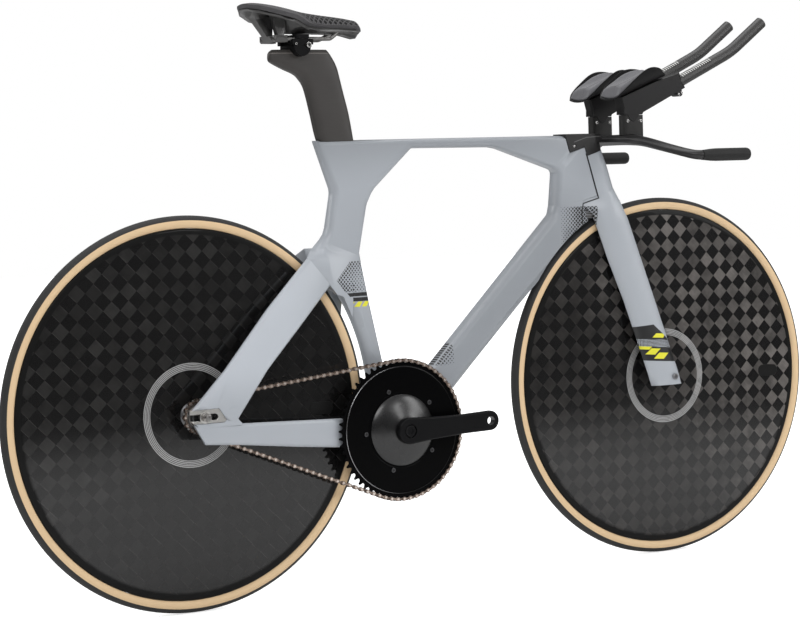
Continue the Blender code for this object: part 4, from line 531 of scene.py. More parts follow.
def tyre_rubber(centre):
    """Tan cotton sidewalls with a diagonal thread, and a black tread with fine files."""
    finish = Finish("tyre_rubber")
    vector, x, y, z = finish.place(centre)
    radius = (x * x + z * z) ** 0.5
    angle = z.arctan2(x)
    thread = (angle * 900 + radius * 2600) % 1.0
    weave = abs(thread - 0.5) * 2
    blotch = finish.noise(vector, 60, 3)
    tan = finish.mix(weave * 0.22, (0.80, 0.585, 0.345), (0.64, 0.44, 0.24))
    tan = finish.mix(blotch * 0.30, tan, (0.74, 0.52, 0.33))
    edge = radius.step(TAN_INNER - 0.0004, TAN_INNER + 0.0008)
    tan = finish.mix(1 - edge, tan, (0.10, 0.07, 0.05))
    files = abs((angle * 620 + abs(y) * 900) % 1.0 - 0.5)
    rubber = finish.mix(blotch * 0.5, (0.020, 0.020, 0.020), (0.036, 0.034, 0.033))
    tread = radius.step(TAN_OUTER - 0.0003, TAN_OUTER + 0.0003)
    finish.surface(
        base_color=finish.mix(tread, tan, rubber),
        roughness=0.62 + tread * 0.06,
        normal=finish.bump(files * tread + weave * (1 - tread) * 0.4, 0.35, 0.0004),
    )
    return finish


def woven_carbon(name, centre, cell, turn, lit, highlight_side):
    """Spread tows in a plain chequer under clear gloss. Every second square carries a
    painted reflection in its colour, as if light fell along its fibres, strongest towards
    one side."""
    finish = Finish(name, coat_roughness=0.03, specular_ior_level=0.12)
    vector, x, _, z = finish.place(centre)
    u = (x * cos(turn) + z * sin(turn)) / cell
    v = (z * cos(turn) - x * sin(turn)) / cell
    row, column = u.floor(), v.floor()
    warp = ((row + column) % 2.0) > 0.5
    seed = finish.join(row, column, 0.5)
    chance = finish.node("ShaderNodeTexWhiteNoise", {"noise_dimensions": "3D"}, {0: seed})
    edge_u = abs(u % 1.0 - 0.5) * 2
    edge_v = abs(v % 1.0 - 0.5) * 2
    strands = finish.noise(finish.join(u * 18, v * 1.2, 0.0), 1.0, 2)
    cloud = finish.noise(vector, 14, 4, 0.65)
    radius = (x * x + z * z) ** 0.5
    # Painted reflection: the shine rises towards the side where the lamps' reflection falls.
    side = (x * highlight_side[0] + z * highlight_side[1]) * (1 / 0.31) + (cloud - 0.5) * 1.1
    zone = side.step(-0.30, 0.55)
    patches = finish.noise(vector, 26, 3, 0.6).step(0.36, 0.66)
    shine = warp * (0.18 + zone * 0.82) * (0.45 + 0.55 * chance) * (0.55 + strands * 0.6)
    shine = shine * (1 - patches * 0.45)
    colour = finish.mix(shine, (0.0035, 0.0033, 0.0034), lit)
    # Painted highlights: thin glints along one edge of the shining squares.
    glint = (edge_u > 0.93) * ((v % 1.0) > 0.08) * warp
    glint = glint * finish.noise(vector, 40, 2).step(0.40, 0.70)
    colour = finish.mix(glint * 0.55, colour, (0.075, 0.072, 0.070))
    ring = 1 - abs(radius - 0.0822).step(0.0060, 0.0065)
    line = (radius * (1 / 0.0027) % 1.0 < 0.62) * (0.55 + 0.4 * finish.noise(vector, 9, 1))
    colour = finish.mix(ring * line, colour, 0.50)
    rim = radius.step(0.3020, 0.3026)
    colour = finish.mix(rim, colour, 0.006)
    crown = warp * (1 - edge_u * edge_u) + (1 - warp) * (1 - edge_v * edge_v)
    finish.surface(
        base_color=colour,
        roughness=0.42 + chance * 0.10,
        coat_weight=1 - radius.step(0.2960, 0.3030) * 0.92,
        normal=finish.bump(crown * 0.4 + strands * 0.3, 0.25, 0.0008),
    )
    return finish


def disc_outline():
    """One side's profile from the rim's seat to the hub, a shallow lens."""
    return mirrored_across([
        (0.31250, 0.0075), (0.31150, 0.0092), (RIM_RADIUS, 0.0104), (0.300, 0.01065),
        (0.240, 0.01165), (0.160, 0.01290), (0.090, 0.01400), (0.046, 0.01465),
        (0.030, 0.01480), (0.0146, 0.01500),
    ])


def tyre_outline():
    """The tyre's section: round sidewalls and a slightly peaked tread."""
    points = []
    start, end = radians(142), radians(-142)
    for k in range(33):
        a = start + (end - start) * k / 32
        peak = 0.0 if abs(a) > radians(60) else 0.0004 * cos(a * 1.5)
        reach = TYRE_HALF + peak - 0.0002
        points.append((TYRE_MIDDLE + reach * cos(a), TYRE_HALF * sin(a)))
    return points


for word, centre in AXLES.items():
    body = f"{word}_wheel"
    obj = turned(f"{word}_tubular", tyre_outline(), centre, 240)
    settle(shaded(obj), tyre_rubber(centre), body, "tyre_rubber", f"{word}_tyre")
    # Painted reflection: the front disc's shining squares are painted far brighter than the
    # rear's, each strongest towards its own side.
    lit, highlight_side = (
        ((0.030, 0.029, 0.028), (-0.75, 0.65)) if word == "rear"
        else ((0.190, 0.175, 0.165), (0.70, 0.62))
    )
    carbon = woven_carbon(f"{word}_weave", centre, 0.0215, radians(45), lit, highlight_side)
    obj = turned(f"{word}_shell", disc_outline(), centre, 240)
    settle(shaded(obj, 30), carbon, body, "black_carbon", f"{word}_disc")

# The hubs: turned aluminium shells between the discs' faces, on sealed bearings.
# The rear one carries the screwed-on cog and its lockring on the drive side.
def machined(name, colour, roughness, centre, metallic=1.0):
    """Turned metal: fine tool marks run round the axle."""
    finish = Finish(name, metallic=metallic)
    vector, x, y, z = finish.place(centre)
    radius = (x * x + z * z) ** 0.5
    rings = finish.noise(finish.join(radius * 900, y * 900, 0.0), 1.0, 3)
    grime = finish.noise(vector, 90, 3)
    finish.surface(
        base_color=finish.mix(grime.step(0.45, 0.8) * 0.45, colour, times(colour, 0.62)),
        roughness=roughness + rings * 0.12 + grime * 0.06,
        normal=finish.bump(rings, 0.12, 0.0002),
    )
    return finish


for word, centre in AXLES.items():
    hub_finish = machined(f"{word}_hub_metal", (0.16, 0.16, 0.165), 0.30, centre)
    if word == "rear":
        outline = [
            (0.0165, -0.0517), (0.0165, -0.0402), (0.0205, -0.0398), (0.0220, -0.0385),
            (0.0220, -0.0330), (0.0175, -0.0300), (0.0175, -0.0200), (0.0220, -0.0170),
            (0.0220, -0.0153), (0.0140, -0.0153), (0.0140, 0.0520), (0.0130, 0.0540),
            (0.0056, 0.0540), (0.0056, -0.0520), (0.0155, -0.0525),
        ]
    else:
        outline = mirrored_across([(0.0140, -0.0320), (0.0130, -0.0330), (0.0068, -0.0330)])
    obj = turned(f"{word}_hub_shell", outline, centre, 96)
    body = f"{word}_wheel"
    settle(shaded(obj, 30, 0.0003), hub_finish, body, "aluminium", f"{word}_hub")

# The drive: a solid chainring under a gloss cover, a satin domed spider with five
# bolts, and a half-inch chain to the cog. The chain's plates are warm bright nickel.
PITCH = 0.0127
RING_TEETH, COG_TEETH, LINKS = 60, 13, 100
CHAIN_Y = -0.0435
RING = PITCH / (2 * sin(pi / RING_TEETH))
COG = PITCH / (2 * sin(pi / COG_TEETH))
CRANK_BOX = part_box("crank_spindle")
CRANK = Vector(((CRANK_BOX[0].x + CRANK_BOX[1].x) / 2, 0, -0.053))
CRANK_TURN = radians(2)
CENTRES = CRANK.length


def chain_pins():
    """(x, z) of every pin, clockwise as seen from the right, from the ring's top."""
    line = atan2(CRANK.z, CRANK.x)
    lean = asin((RING - COG) / CENTRES)
    straight = CENTRES * cos(lean) / PITCH
    on_ring = (pi + 2 * lean) * RING_TEETH / (2 * pi)
    on_cog = (pi - 2 * lean) * COG_TEETH / (2 * pi)
    upper, lower = line + pi / 2 + lean, line - pi / 2 - lean

    def spot(centre, radius, a, run=0.0):
        return (centre.x + radius * cos(a) + run * sin(a),
                centre.z + radius * sin(a) - run * cos(a))

    pins = []
    for link in range(LINKS):
        past_ring = link - on_ring
        past_lower = past_ring - straight
        past_cog = past_lower - on_cog
        if past_ring <= 0:
            pins.append(spot(CRANK, RING, upper - link * 2 * pi / RING_TEETH))
        elif past_lower <= 0:
            pins.append(spot(CRANK, RING, lower, past_ring * PITCH))
        elif past_cog <= 0:
            pins.append(spot(Vector(), COG, lower - past_lower * 2 * pi / COG_TEETH))
        else:
            pins.append(spot(CRANK, RING, upper, (past_cog - straight) * PITCH))
    return pins, upper


def side_plate(bm, start, end, y, thick, half, waist):
    """A link plate between two pins, narrowed to its waist, its near face at y."""
    along = Vector((end[0] - start[0], 0, end[1] - start[1]))
    length = along.length
    turn = Matrix.Rotation(-atan2(along.z, along.x), 4, "Y")
    made = bmesh.ops.create_circle(bm, cap_ends=True, segments=14, radius=half)
    verts = made["verts"]
    bmesh.ops.rotate(bm, verts=verts, matrix=Matrix.Rotation(pi / 2, 3, "X"))
    for v in verts:
        if v.co.x > half * 0.02:
            v.co.x += length
        elif abs(v.co.x) <= half * 0.02:
            v.co.x = length / 2
            v.co.z *= waist
    fresh = extruded(bm, [verts[0].link_faces[0]])
    bmesh.ops.translate(bm, verts=fresh, vec=(0, thick, 0))
    move = Matrix.Translation((start[0], y, start[1])) @ turn
    bmesh.ops.transform(bm, matrix=move, verts=verts + fresh)


def drum(bm, x, z, low, high, radius, segments):
    """A short round bar along Y, between two places on it."""
    bmesh.ops.create_cone(
        bm, cap_ends=True, segments=segments, radius1=radius, radius2=radius,
        depth=abs(high - low), matrix=Matrix.Translation((x, (low + high) / 2, z))
        @ Matrix.Rotation(pi / 2, 4, "X"),
    )


pins, ring_start = chain_pins()
plates, inners, rollers, heads = (bmesh.new() for _ in range(4))
PLATE, INNER_HALF, OUTER_HALF = 0.0010, 0.0016, 0.0028
for i, (x, z) in enumerate(pins):
    start, end = (x, z), pins[(i + 1) % LINKS]
    at = INNER_HALF if i % 2 else OUTER_HALF
    half = 0.0041 if i % 2 else 0.0038
    row = inners if i % 2 else plates
    drum(rollers, x, z, CHAIN_Y - INNER_HALF + 0.0001, CHAIN_Y + INNER_HALF - 0.0001,
         0.0037, 12)
    reach = OUTER_HALF + PLATE + 0.0003
    for side in (-1, 1):
        near = CHAIN_Y + side * (at + PLATE / 2) - PLATE / 2
        side_plate(row, start, end, near, PLATE, half, 0.34)
        drum(heads, x, z, CHAIN_Y + side * OUTER_HALF, CHAIN_Y + side * reach, 0.0023, 10)


def chain_metal(name, bright, dark, roughness):
    """Nickel with a film of oil that dulls it to bronze in patches."""
    finish = Finish(name, metallic=1.0)
    vector, *_ = finish.place()
    film = finish.noise(vector, 260, 3)
    finish.surface(
        base_color=finish.mix(film.step(0.40, 0.70), bright, dark),
        roughness=roughness + film * 0.25,
        normal=finish.bump(finish.noise(vector, 1400, 2), 0.12, 0.0002),
    )
    return finish


# One nickel in four tones: the inner plates and rollers are darker copies, painted shade
# between the outer plates, and the pin heads are a brighter copy, a painted highlight.
for part, bm, bright, dark, roughness, swaps in (
    ("plate", plates, (0.42, 0.33, 0.28), (0.20, 0.15, 0.12), 0.24, ("chain",)),
    ("inner", inners, (0.30, 0.235, 0.20), (0.12, 0.09, 0.07), 0.28, ()),
    ("roller", rollers, (0.10, 0.085, 0.075), (0.03, 0.025, 0.02), 0.25, ()),
    ("pin_head", heads, (0.92, 0.83, 0.76), (0.60, 0.50, 0.43), 0.16, ()),
):
    metal = chain_metal(f"chain_{part}_metal", bright, dark, roughness)
    obj = shaded(finished(f"chain_{part}s", bm), 40)
    settle(obj, metal, "frame", "chain_steel", *swaps)


def toothed(name, teeth, pitch_radius, first_gap, inner, centre, thick):
    """A sprocket: one tooth's outline repeated round the centre, then given thickness."""
    bm = bmesh.new()
    step = 2 * pi / teeth
    root = pitch_radius - 0.0039
    seat = 0.62 * 0.0039 / pitch_radius
    outline = [
        (inner, 0), (root, 0), (root + 0.0004, seat * 0.8), (root + 0.0022, seat * 1.35),
        (pitch_radius + 0.0025, step / 2 - 0.13 * step),
        (pitch_radius + 0.0034, step / 2 - 0.07 * step),
        (pitch_radius + 0.0034, step / 2 + 0.07 * step),
        (pitch_radius + 0.0025, step / 2 + 0.13 * step),
        (root + 0.0022, step - seat * 1.35), (root + 0.0004, step - seat * 0.8),
        (root, step), (inner, step),
    ]
    corners = [
        bm.verts.new((r * cos(first_gap + a), 0, r * sin(first_gap + a))) for r, a in outline
    ]
    face = bm.faces.new(corners)
    bmesh.ops.spin(
        bm, geom=[face], cent=(0, 0, 0), axis=(0, -1, 0), angle=2 * pi - step,
        steps=teeth - 1, use_duplicate=True,
    )
    bmesh.ops.remove_doubles(bm, verts=bm.verts, dist=0.00002)
    bmesh.ops.translate(bm, verts=extruded(bm, bm.faces[:]), vec=(0, thick, 0))
    bmesh.ops.translate(
        bm, verts=bm.verts, vec=(centre[0], CHAIN_Y - thick / 2, centre[2])
    )
    return finished(name, bm)


def gloss_black(name, centre):
    """Lacquered carbon plate: deep black, faint dust and fine polishing lines."""
    finish = Finish(name, specular_ior_level=0.05)
    vector, x, _, z = finish.place(centre)
    radius = (x * x + z * z) ** 0.5
    polish = finish.noise(finish.join(radius * 700, 0.0, 0.0), 1.0, 2)
    dust = finish.noise(vector, 240, 3)
    finish.surface(
        base_color=finish.mix(
            dust.step(0.55, 0.9), (0.0018, 0.0018, 0.0020), (0.0036, 0.0036, 0.0038)
        ),
        roughness=0.20 + polish * 0.08,
    )
    return finish


def satin_black(name, colour, roughness, **surface):
    """Bead-blasted and anodised or moulded black, slightly worn to grey in patches."""
    finish = Finish(name, **surface)
    vector, *_ = finish.place()
    grain = finish.noise(vector, 1500, 2)
    cloud = finish.noise(vector, 28, 3)
    pale = tuple(1.7 * c + 0.002 for c in colour)
    finish.surface(
        base_color=finish.mix(grain * 0.35 + cloud * 0.25, colour, pale),
        roughness=roughness + cloud * 0.10 + grain * 0.05,
        normal=finish.bump(grain, 0.10, 0.0002),
    )
    return finish


ring_black = gloss_black("ring_lacquer", CRANK)
anodised = satin_black(
    "anodised_black", (0.004, 0.004, 0.0045), 0.30, specular_ior_level=0.12
)
obj = toothed("chainring_teeth", RING_TEETH, RING, ring_start, 0.100, CRANK, 0.0024)
settle(shaded(obj, 35, 0.0003, 1), ring_black, "crank", "black_carbon", "chainring")
COVER = CHAIN_Y - 0.0030
outline = [
    (0.0225, COVER + 0.0004), (0.0660, COVER + 0.0004), (0.0665, COVER), (0.1085, COVER),
    (0.1098, COVER - 0.0002), (0.1108, COVER), (0.1126, COVER + 0.0008),
    (0.1130, COVER + 0.0017), (0.1130, CHAIN_Y + 0.0008), (0.0225, CHAIN_Y + 0.0008),
]
obj = turned("chainring_cover", outline, (CRANK.x, 0, CRANK.z), 180)
settle(shaded(obj, 20, 0.0002, 1), ring_black, "crank", "black_carbon")
outline = [
    (0.1104, COVER - 0.0002), (0.1109, COVER - 0.0003), (0.1115, COVER + 0.0002),
    (0.1115, COVER + 0.0006), (0.1104, COVER + 0.0006),
]
# Painted highlight: the cover's bright edge is light on its left and nearly black on its
# right.
edge_highlight_metal = machined("bright_edge", (0.30, 0.30, 0.31), 0.16, CRANK)
vector, x, y, z = edge_highlight_metal.place(CRANK)
edge_highlight_metal.surface(
    base_color=edge_highlight_metal.mix(x.step(-0.085, 0.015), (0.34, 0.34, 0.35), 0.03)
)
obj = turned("cover_bright_edge", outline, (CRANK.x, 0, CRANK.z), 180)
settle(shaded(obj, 60), edge_highlight_metal, "crank", "aluminium")

BOLT_CIRCLE = 0.072
bolts, sockets = bmesh.new(), bmesh.new()
for k in range(5):
    a = CRANK_TURN + pi / 5 + 2 * pi * k / 5
    x, z = CRANK.x + BOLT_CIRCLE * cos(a), CRANK.z + BOLT_CIRCLE * sin(a)
    drum(bolts, x, z, COVER - 0.0012, CHAIN_Y + 0.0020, 0.0041, 24)
    # The sockets are thin dark hexagon discs: painted shade where each bolt's recess would
    # be.
    drum(sockets, x, z, COVER - 0.00135, COVER - 0.0010, 0.0022, 6)
bolt_steel = machined("bolt_steel", (0.10, 0.10, 0.105), 0.20, CRANK)
socket_shade_black = satin_black("socket_painted_shade", (0.004, 0.004, 0.004), 0.6)
settle(shaded(finished("ring_bolts", bolts), 40, 0.0005), bolt_steel, "crank", "steel")
settle(finished("ring_bolt_sockets", sockets), socket_shade_black, "crank", "steel")

ARM_INNER = -0.0645
BACK = COVER - 0.0003
outline = [
    (0.0124, BACK + 0.0045), (0.0218, BACK + 0.0045), (0.0218, BACK), (0.0618, BACK),
    (0.0625, BACK - 0.0006), (0.0620, BACK - 0.0016), (0.0570, BACK - 0.0050),
    (0.0475, BACK - 0.0086), (0.0370, BACK - 0.0118), (0.0285, BACK - 0.0145),
    (0.0200, ARM_INNER + 0.0003), (0.0124, ARM_INNER + 0.0003),
]
obj = turned("spider_dome", outline, (CRANK.x, 0, CRANK.z), 128)
dome_black = satin_black(
    "dome_black", (0.004, 0.004, 0.0045), 0.20, specular_ior_level=0.75
)
settle(shaded(obj, 50), dome_black, "crank", "satin_black", "chainring_spider")

cog_metal = machined("cog_metal", (0.42, 0.41, 0.40), 0.28, Vector())
first_gap = next(atan2(z, x) for x, z in pins if hypot(x, z) < COG * 1.02)
obj = toothed("cog_teeth", COG_TEETH, COG, first_gap, 0.0170, Vector(), 0.0024)
settle(shaded(obj, 35, 0.0003, 1), cog_metal, "rear_wheel", "steel", "cog")
outline = [(0.0169, -0.0470), (0.0193, -0.0470), (0.0196, -0.0465), (0.0196, -0.0402),
           (0.0169, -0.0402)]
obj = turned("cog_body", outline, (0, 0, 0), 64)
settle(shaded(obj, 30), cog_metal, "rear_wheel", "steel")
outline = [(0.0169, -0.0514), (0.0190, -0.0514), (0.0195, -0.0509), (0.0195, -0.0474),
           (0.0169, -0.0474)]
obj = turned("cog_lockring", outline, (0, 0, 0), 64)
settle(shaded(obj, 30), machined("lockring_black", (0.05, 0.05, 0.05), 0.3, Vector(), 0.6),
       "rear_wheel", "steel", "lockring")

# The valve hatch: an oval moulded rubber lid pressed into the drive side of each disc,
# over the recess for the valve.
moulded_rubber = Finish("moulded_rubber", roughness=0.55, specular_ior_level=0.2)
vector, *_ = moulded_rubber.place()
moulded_rubber.surface(
    base_color=moulded_rubber.mix(moulded_rubber.noise(vector, 500, 2), 0.003, 0.006),
    normal=moulded_rubber.bump(moulded_rubber.noise(vector, 1800, 2), 0.2, 0.0002),
)
for word, centre in AXLES.items():
    a = radians(-1.5)
    way = Vector((cos(a), 0, sin(a)))
    inner, outer = centre + way * 0.2370, centre + way * 0.2600
    bm = bmesh.new()
    side_plate(bm, (inner.x, inner.z), (outer.x, outer.z), -0.0126, 0.0014, 0.0116, 1.0)
    obj = shaded(finished(f"{word}_hatch", bm), 40, 0.0005, 3)
    settle(obj, moulded_rubber, f"{word}_wheel", "grip_rubber", f"{word}_valve_cover")

# The cranks: forged aluminium arms, blasted satin black with softly rolled edges. The
# right one is held by a ringed bolt, and steel bushes line the pedal holes.
ARM_REACH, BOSS, TIP = 0.165, 0.0232, 0.0175
OUTER, THICK = 0.0775, 0.0130


def half_round(centre_x, radius, start):
    """Points round one end of the arm, from an angle on."""
    angles = [start + pi * k / 24 for k in range(25)]
    return [(centre_x + radius * cos(a), radius * sin(a)) for a in angles]


def crank_arm(side, word):
    """One arm with its holes cut, and the bush of its pedal hole."""
    outline = half_round(0, BOSS, pi / 2) + [(0.045, -0.0196), (0.110, -0.0170)]
    outline += half_round(ARM_REACH, TIP, -pi / 2) + [(0.110, 0.0170), (0.045, 0.0196)]
    turn = CRANK_TURN if side < 0 else CRANK_TURN + pi
    bm = slab(outline, 0, side * THICK)
    bmesh.ops.recalc_face_normals(bm, faces=bm.faces)
    rim = [e for e in bm.edges if e.calc_face_angle(0) > radians(60)]
    bmesh.ops.bevel(
        bm, geom=rim, offset=0.0034, segments=5, profile=0.5, affect="EDGES", material=-1
    )
    bmesh.ops.rotate(bm, verts=bm.verts, matrix=Matrix.Rotation(-turn, 3, "Y"))
    bmesh.ops.translate(
        bm, verts=bm.verts, vec=(CRANK.x, side * (OUTER - THICK), CRANK.z)
    )
    obj = finished(f"crank_{word}", bm)
    hole, sink = bmesh.new(), bmesh.new()
    end_x, end_z = CRANK.x + ARM_REACH * cos(turn), CRANK.z + ARM_REACH * sin(turn)
    drum(hole, end_x, end_z, side * 0.05, side * 0.09, 0.0080, 40)
    drum(sink, CRANK.x, CRANK.z, side * (OUTER - 0.0030), side * 0.09, 0.0118, 48)
    carved(obj, finished("hole", hole), finished("sink", sink))
    low, high = sorted((side * (OUTER - THICK + 0.0002), side * (OUTER - 0.0004)))
    outline = [(0.0072, low), (0.0072, high), (0.0080, high), (0.0080, low)]
    bush = turned(f"pedal_bush_{word}", outline, (end_x, 0, end_z), 40)
    settle(shaded(bush, 40, 0.0002), bolt_steel, "crank", "steel")
    return shaded(obj, 35)


for side, word in SIDES:
    settle(crank_arm(side, word), anodised, "crank", "satin_black", f"crank_arm_{word}")
    near, far = side * (OUTER - 0.0006), side * (OUTER - 0.0034)
    dip = near - side * 0.0012
    outline = [
        (0.0, dip), (0.0048, dip), (0.0050, near), (0.0096, near),
        (0.0104, near - side * 0.0008), (0.0104, far), (0.0, far),
    ]
    obj = turned(f"crank_cap_{word}", outline, (CRANK.x, 0, CRANK.z), 48, closed=False)
    swaps = ("crank_bolt",) if side < 0 else ()
    settle(shaded(obj, 30, 0.0002), anodised, "crank", "steel", *swaps)
    # The cap's thin ring wears the same edge metal, with its painted highlight.
    under, over = near - side * 0.0002, near + side * 0.00025
    ring = [(0.0084, under), (0.0084, over), (0.0090, over), (0.0090, under)]
    obj = turned(f"crank_cap_ring_{word}", ring, (CRANK.x, 0, CRANK.z), 48)
    settle(shaded(obj, 40), edge_highlight_metal, "crank", "aluminium")

# The bottom bracket's outboard cups and the rear axle's track nuts, in bright steel.
# The stays end in bare alloy inserts, slotted so the wheel slides to tension the chain.
for side, word in SIDES:
    y = side * 0.0343
    outline = [(0.0126, y), (0.0220, y), (0.0225, y + side * 0.0004),
               (0.0225, y + side * 0.0022), (0.0215, y + side * 0.0027),
               (0.0126, y + side * 0.0027)]
    obj = turned(f"bracket_cup_{word}", outline, (CRANK.x, 0, CRANK.z), 72)
    settle(shaded(obj, 40), machined(f"cup_metal_{word}", (0.08, 0.08, 0.085), 0.3, CRANK),
           "frame", "aluminium", f"bottom_bracket_{word}")


def brushed(name, colour, roughness, stretch=(1, 1, 12)):
    """Metal finished on a belt: short straight scratches, slightly darker in the lows."""
    finish = Finish(name, metallic=1.0)
    vector, x, y, z = finish.place()
    drawn = finish.join(x * stretch[0], y * stretch[1], z * stretch[2])
    grain = finish.noise(drawn, 260, 3)
    grime = finish.noise(vector, 120, 3)
    finish.surface(
        base_color=finish.mix(grime.step(0.5, 0.85) * 0.5, colour, times(colour, 0.5)),
        roughness=roughness + grain * 0.16,
        normal=finish.bump(grain, 0.18, 0.0002),
    )
    return finish


insert_metal = brushed("insert_metal", (0.60, 0.59, 0.57), 0.28)
nut_steel = brushed("nut_steel", (0.52, 0.50, 0.48), 0.20, (1, 8, 1))
for side, word in SIDES:
    dressed(f"track_end_{word}", insert_metal, 30, 0.0005, 1.0)
    face = side * 0.0663
    bm = bmesh.new()
    drum(bm, 0, 0, face + side * 0.0018, face + side * 0.0082, 0.0087, 6)
    bmesh.ops.bevel(
        bm, geom=bm.edges[:], offset=0.0006, segments=2, profile=0.5, affect="EDGES",
        material=-1,
    )
    nut = finished(f"track_nut_{word}", bm)
    settle(shaded(nut, 30), nut_steel, "frame", "steel", f"rear_axle_nut_{word}")
    outline = [
        (0.0053, face), (0.0100, face), (0.0103, face + side * 0.0004),
        (0.0103, face + side * 0.0012), (0.0098, face + side * 0.0016),
        (0.0053, face + side * 0.0017),
    ]
    obj = turned(f"track_washer_{word}", outline, (0, 0, 0), 56)
    settle(shaded(obj, 40), insert_metal, "frame", "steel")
outline = [(0.0, -0.0797), (0.0042, -0.0797), (0.0049, -0.0790), (0.0049, 0.0790),
           (0.0042, 0.0797), (0.0, 0.0797)]
axle = turned("rear_axle_rod", outline, (0, 0, 0), 40, closed=False)
thread = Finish("axle_thread", metallic=1.0, base_color=(0.40, 0.39, 0.38))
vector, x, y, z = thread.place()
ridges = abs((y * 1000 + z.arctan2(x) * (1 / (2 * pi))) % 1.0 - 0.5)
thread.surface(roughness=0.24 + ridges * 0.2, normal=thread.bump(ridges, 0.9, 0.0005))
settle(shaded(axle, 30), thread, "frame", "steel", "rear_axle")

# The front axle's bolts: one in each fork tip, with a low round head bored for a key.
# The hollow tube between them is with the metal inside.
socket_steel = machined("front_bolt_steel", (0.34, 0.34, 0.35), 0.24, AXLES["front"])
for side, word in SIDES:
    face = side * 0.0463
    outline = [
        (0.0, face + side * 0.0004), (0.0024, face + side * 0.0004),
        (0.0026, face + side * 0.0026), (0.0050, face + side * 0.0026),
        (0.0058, face + side * 0.0018), (0.0058, face), (0.0029, face),
        (0.0029, side * 0.030), (0.0, side * 0.030),
    ]
    obj = turned(f"front_bolt_{word}", outline, AXLES["front"], 40, closed=False)
    settle(shaded(obj, 35), socket_steel, "steering", "steel", f"front_axle_bolt_{word}")

# The seatpost: a flat carbon blade with a long swept head, bare moulded finish with no
# lacquer. A rubber-lined wedge in the top tube holds it.
HEAD_TOP = 0.610


def bare_carbon(name, colour, pale):
    """Carbon straight from the mould: brown-black, matt, with a hint of fibre, and a
    painted highlight line along the post head's chamfer.
    """
    finish = Finish(name)
    vector, x, y, z = finish.place()
    fibre = finish.noise(finish.join(x * 60, y * 60, z * 600), 1.0, 3)
    cloud = finish.noise(vector, 22, 3)
    # Painted highlight: a pale line 6 mm under the post head's top, where its chamfer
    # catches the light.
    line = 1 - abs(z - HEAD_TOP + 0.0062).step(0.0003, 0.0012)
    body = finish.mix(fibre * 0.3 + cloud * 0.4, colour, pale)
    finish.surface(
        base_color=finish.mix(line * 0.8, body, times(pale, 2.4)),
        roughness=0.46 + cloud * 0.08,
        normal=finish.bump(fibre, 0.06, 0.0002),
    )
    return finish


POST_STATIONS = (  # depth under the top, its rear edge, its front edge
    (0.0000, 0.1800, 0.2846), (0.0045, 0.1745, 0.2885), (0.0105, 0.1725, 0.2928),
    (0.0185, 0.1731, 0.2980), (0.0225, 0.1775, 0.3003), (0.0330, 0.1993, 0.3046),
    (0.0420, 0.2205, 0.3069), (0.0515, 0.2310, 0.3092), (0.0620, 0.2380, 0.3117),
    (0.0775, 0.2432, 0.3156), (0.1105, 0.2511, 0.3240), (0.1540, 0.2614, 0.3316),
    (0.1800, 0.2745, 0.3354), (0.2280, 0.2905, 0.3450),
)


def between(stations, share):
    """The stations' values at a share of the length, on a curve through them all."""
    last = len(stations) - 2
    i = min(last, max(k for k in range(last + 1) if stations[k][0] <= share + 1e-9))
    a, b = stations[i], stations[i + 1]
    before, after = stations[max(i - 1, 0)], stations[min(i + 2, last + 1)]
    t = (share - a[0]) / (b[0] - a[0])
    values = []
    for p, q, r, s in list(zip(before, a, b, after))[1:]:
        slope_q = (r - p) / max(b[0] - before[0], 1e-6) * (b[0] - a[0])
        slope_r = (s - q) / max(after[0] - a[0], 1e-6) * (b[0] - a[0])
        values.append(
            q * (2 * t**3 - 3 * t**2 + 1) + slope_q * (t**3 - 2 * t**2 + t)
            + r * (3 * t**2 - 2 * t**3) + slope_r * (t**3 - t**2)
        )
    return values


def wrapped(name, place, along, around):
    """A closed hull: a grid rolled up. place takes a share along and an angle round."""
    bm = bmesh.new()
    bmesh.ops.create_grid(bm, x_segments=along, y_segments=around, size=1)
    for v in bm.verts:
        v.co = place((v.co.x + 1) / 2, pi * (v.co.y + 1))
    bmesh.ops.remove_doubles(bm, verts=bm.verts, dist=0.000002)
    bmesh.ops.holes_fill(bm, edges=bm.edges, sides=0)
    return finished(name, bm)


def blade(share, angle):
    """The post's section at a share of its depth: flat sides and rounded edges."""
    depth = 0.2165 * share**1.4
    rear, front = between(POST_STATIONS, depth)
    c, s = cos(angle), sin(angle)
    bevel = min(1.0, 0.76 + 0.24 * depth / 0.0060)
    return Vector((
        (rear + front) / 2 + (front - rear) / 2 * abs(c) ** 0.5 * (1 if c > 0 else -1),
        0.0115 * bevel * abs(s) ** 0.62 * (1 if s > 0 else -1), HEAD_TOP - depth,
    ))


post_carbon = bare_carbon("post_carbon", (0.028, 0.0255, 0.0245), (0.066, 0.060, 0.055))
settle(shaded(wrapped("post_blade", blade, 90, 72), 50), post_carbon, "seatpost",
       "matte_carbon", "seatpost")
dressed("seat_wedge", anodised, 30, 0.0004, 1.0)

# The saddle: a foam pad under a perforated cover, bonded to a carbon shell whose fin
# carries the rails' sockets. The rails are seven-millimetre steel, joined at the nose.
TAIL_X, SADDLE_LENGTH = 0.128, 0.226
SADDLE_STATIONS = (  # share of the length, half width, crown over the post, fall
    (0.00, 0.0224, 0.0775, 0.003), (0.05, 0.0436, 0.0785, 0.007),
    (0.17, 0.0634, 0.0755, 0.013), (0.32, 0.0620, 0.0695, 0.015),
    (0.48, 0.0380, 0.0635, 0.020), (0.62, 0.0256, 0.0595, 0.020),
    (0.82, 0.0200, 0.0545, 0.015), (0.93, 0.0190, 0.0505, 0.011),
    (1.00, 0.0140, 0.0485, 0.006),
)


def saddle_top(share, across):
    """The pad's face: wide at the tail, narrow ahead, with the nose curled down."""
    half, crown, fall = between(SADDLE_STATIONS, share)
    curl = pi / 2 * max(0.0, (share - 0.93) / 0.07)
    ahead = min(share, 0.93) + 0.042 * sin(curl)
    return Vector((
        TAIL_X + ahead * SADDLE_LENGTH, across * half,
        HEAD_TOP + crown - 0.0125 * (1 - cos(curl)) - fall * abs(across) ** 2.4,
    ))


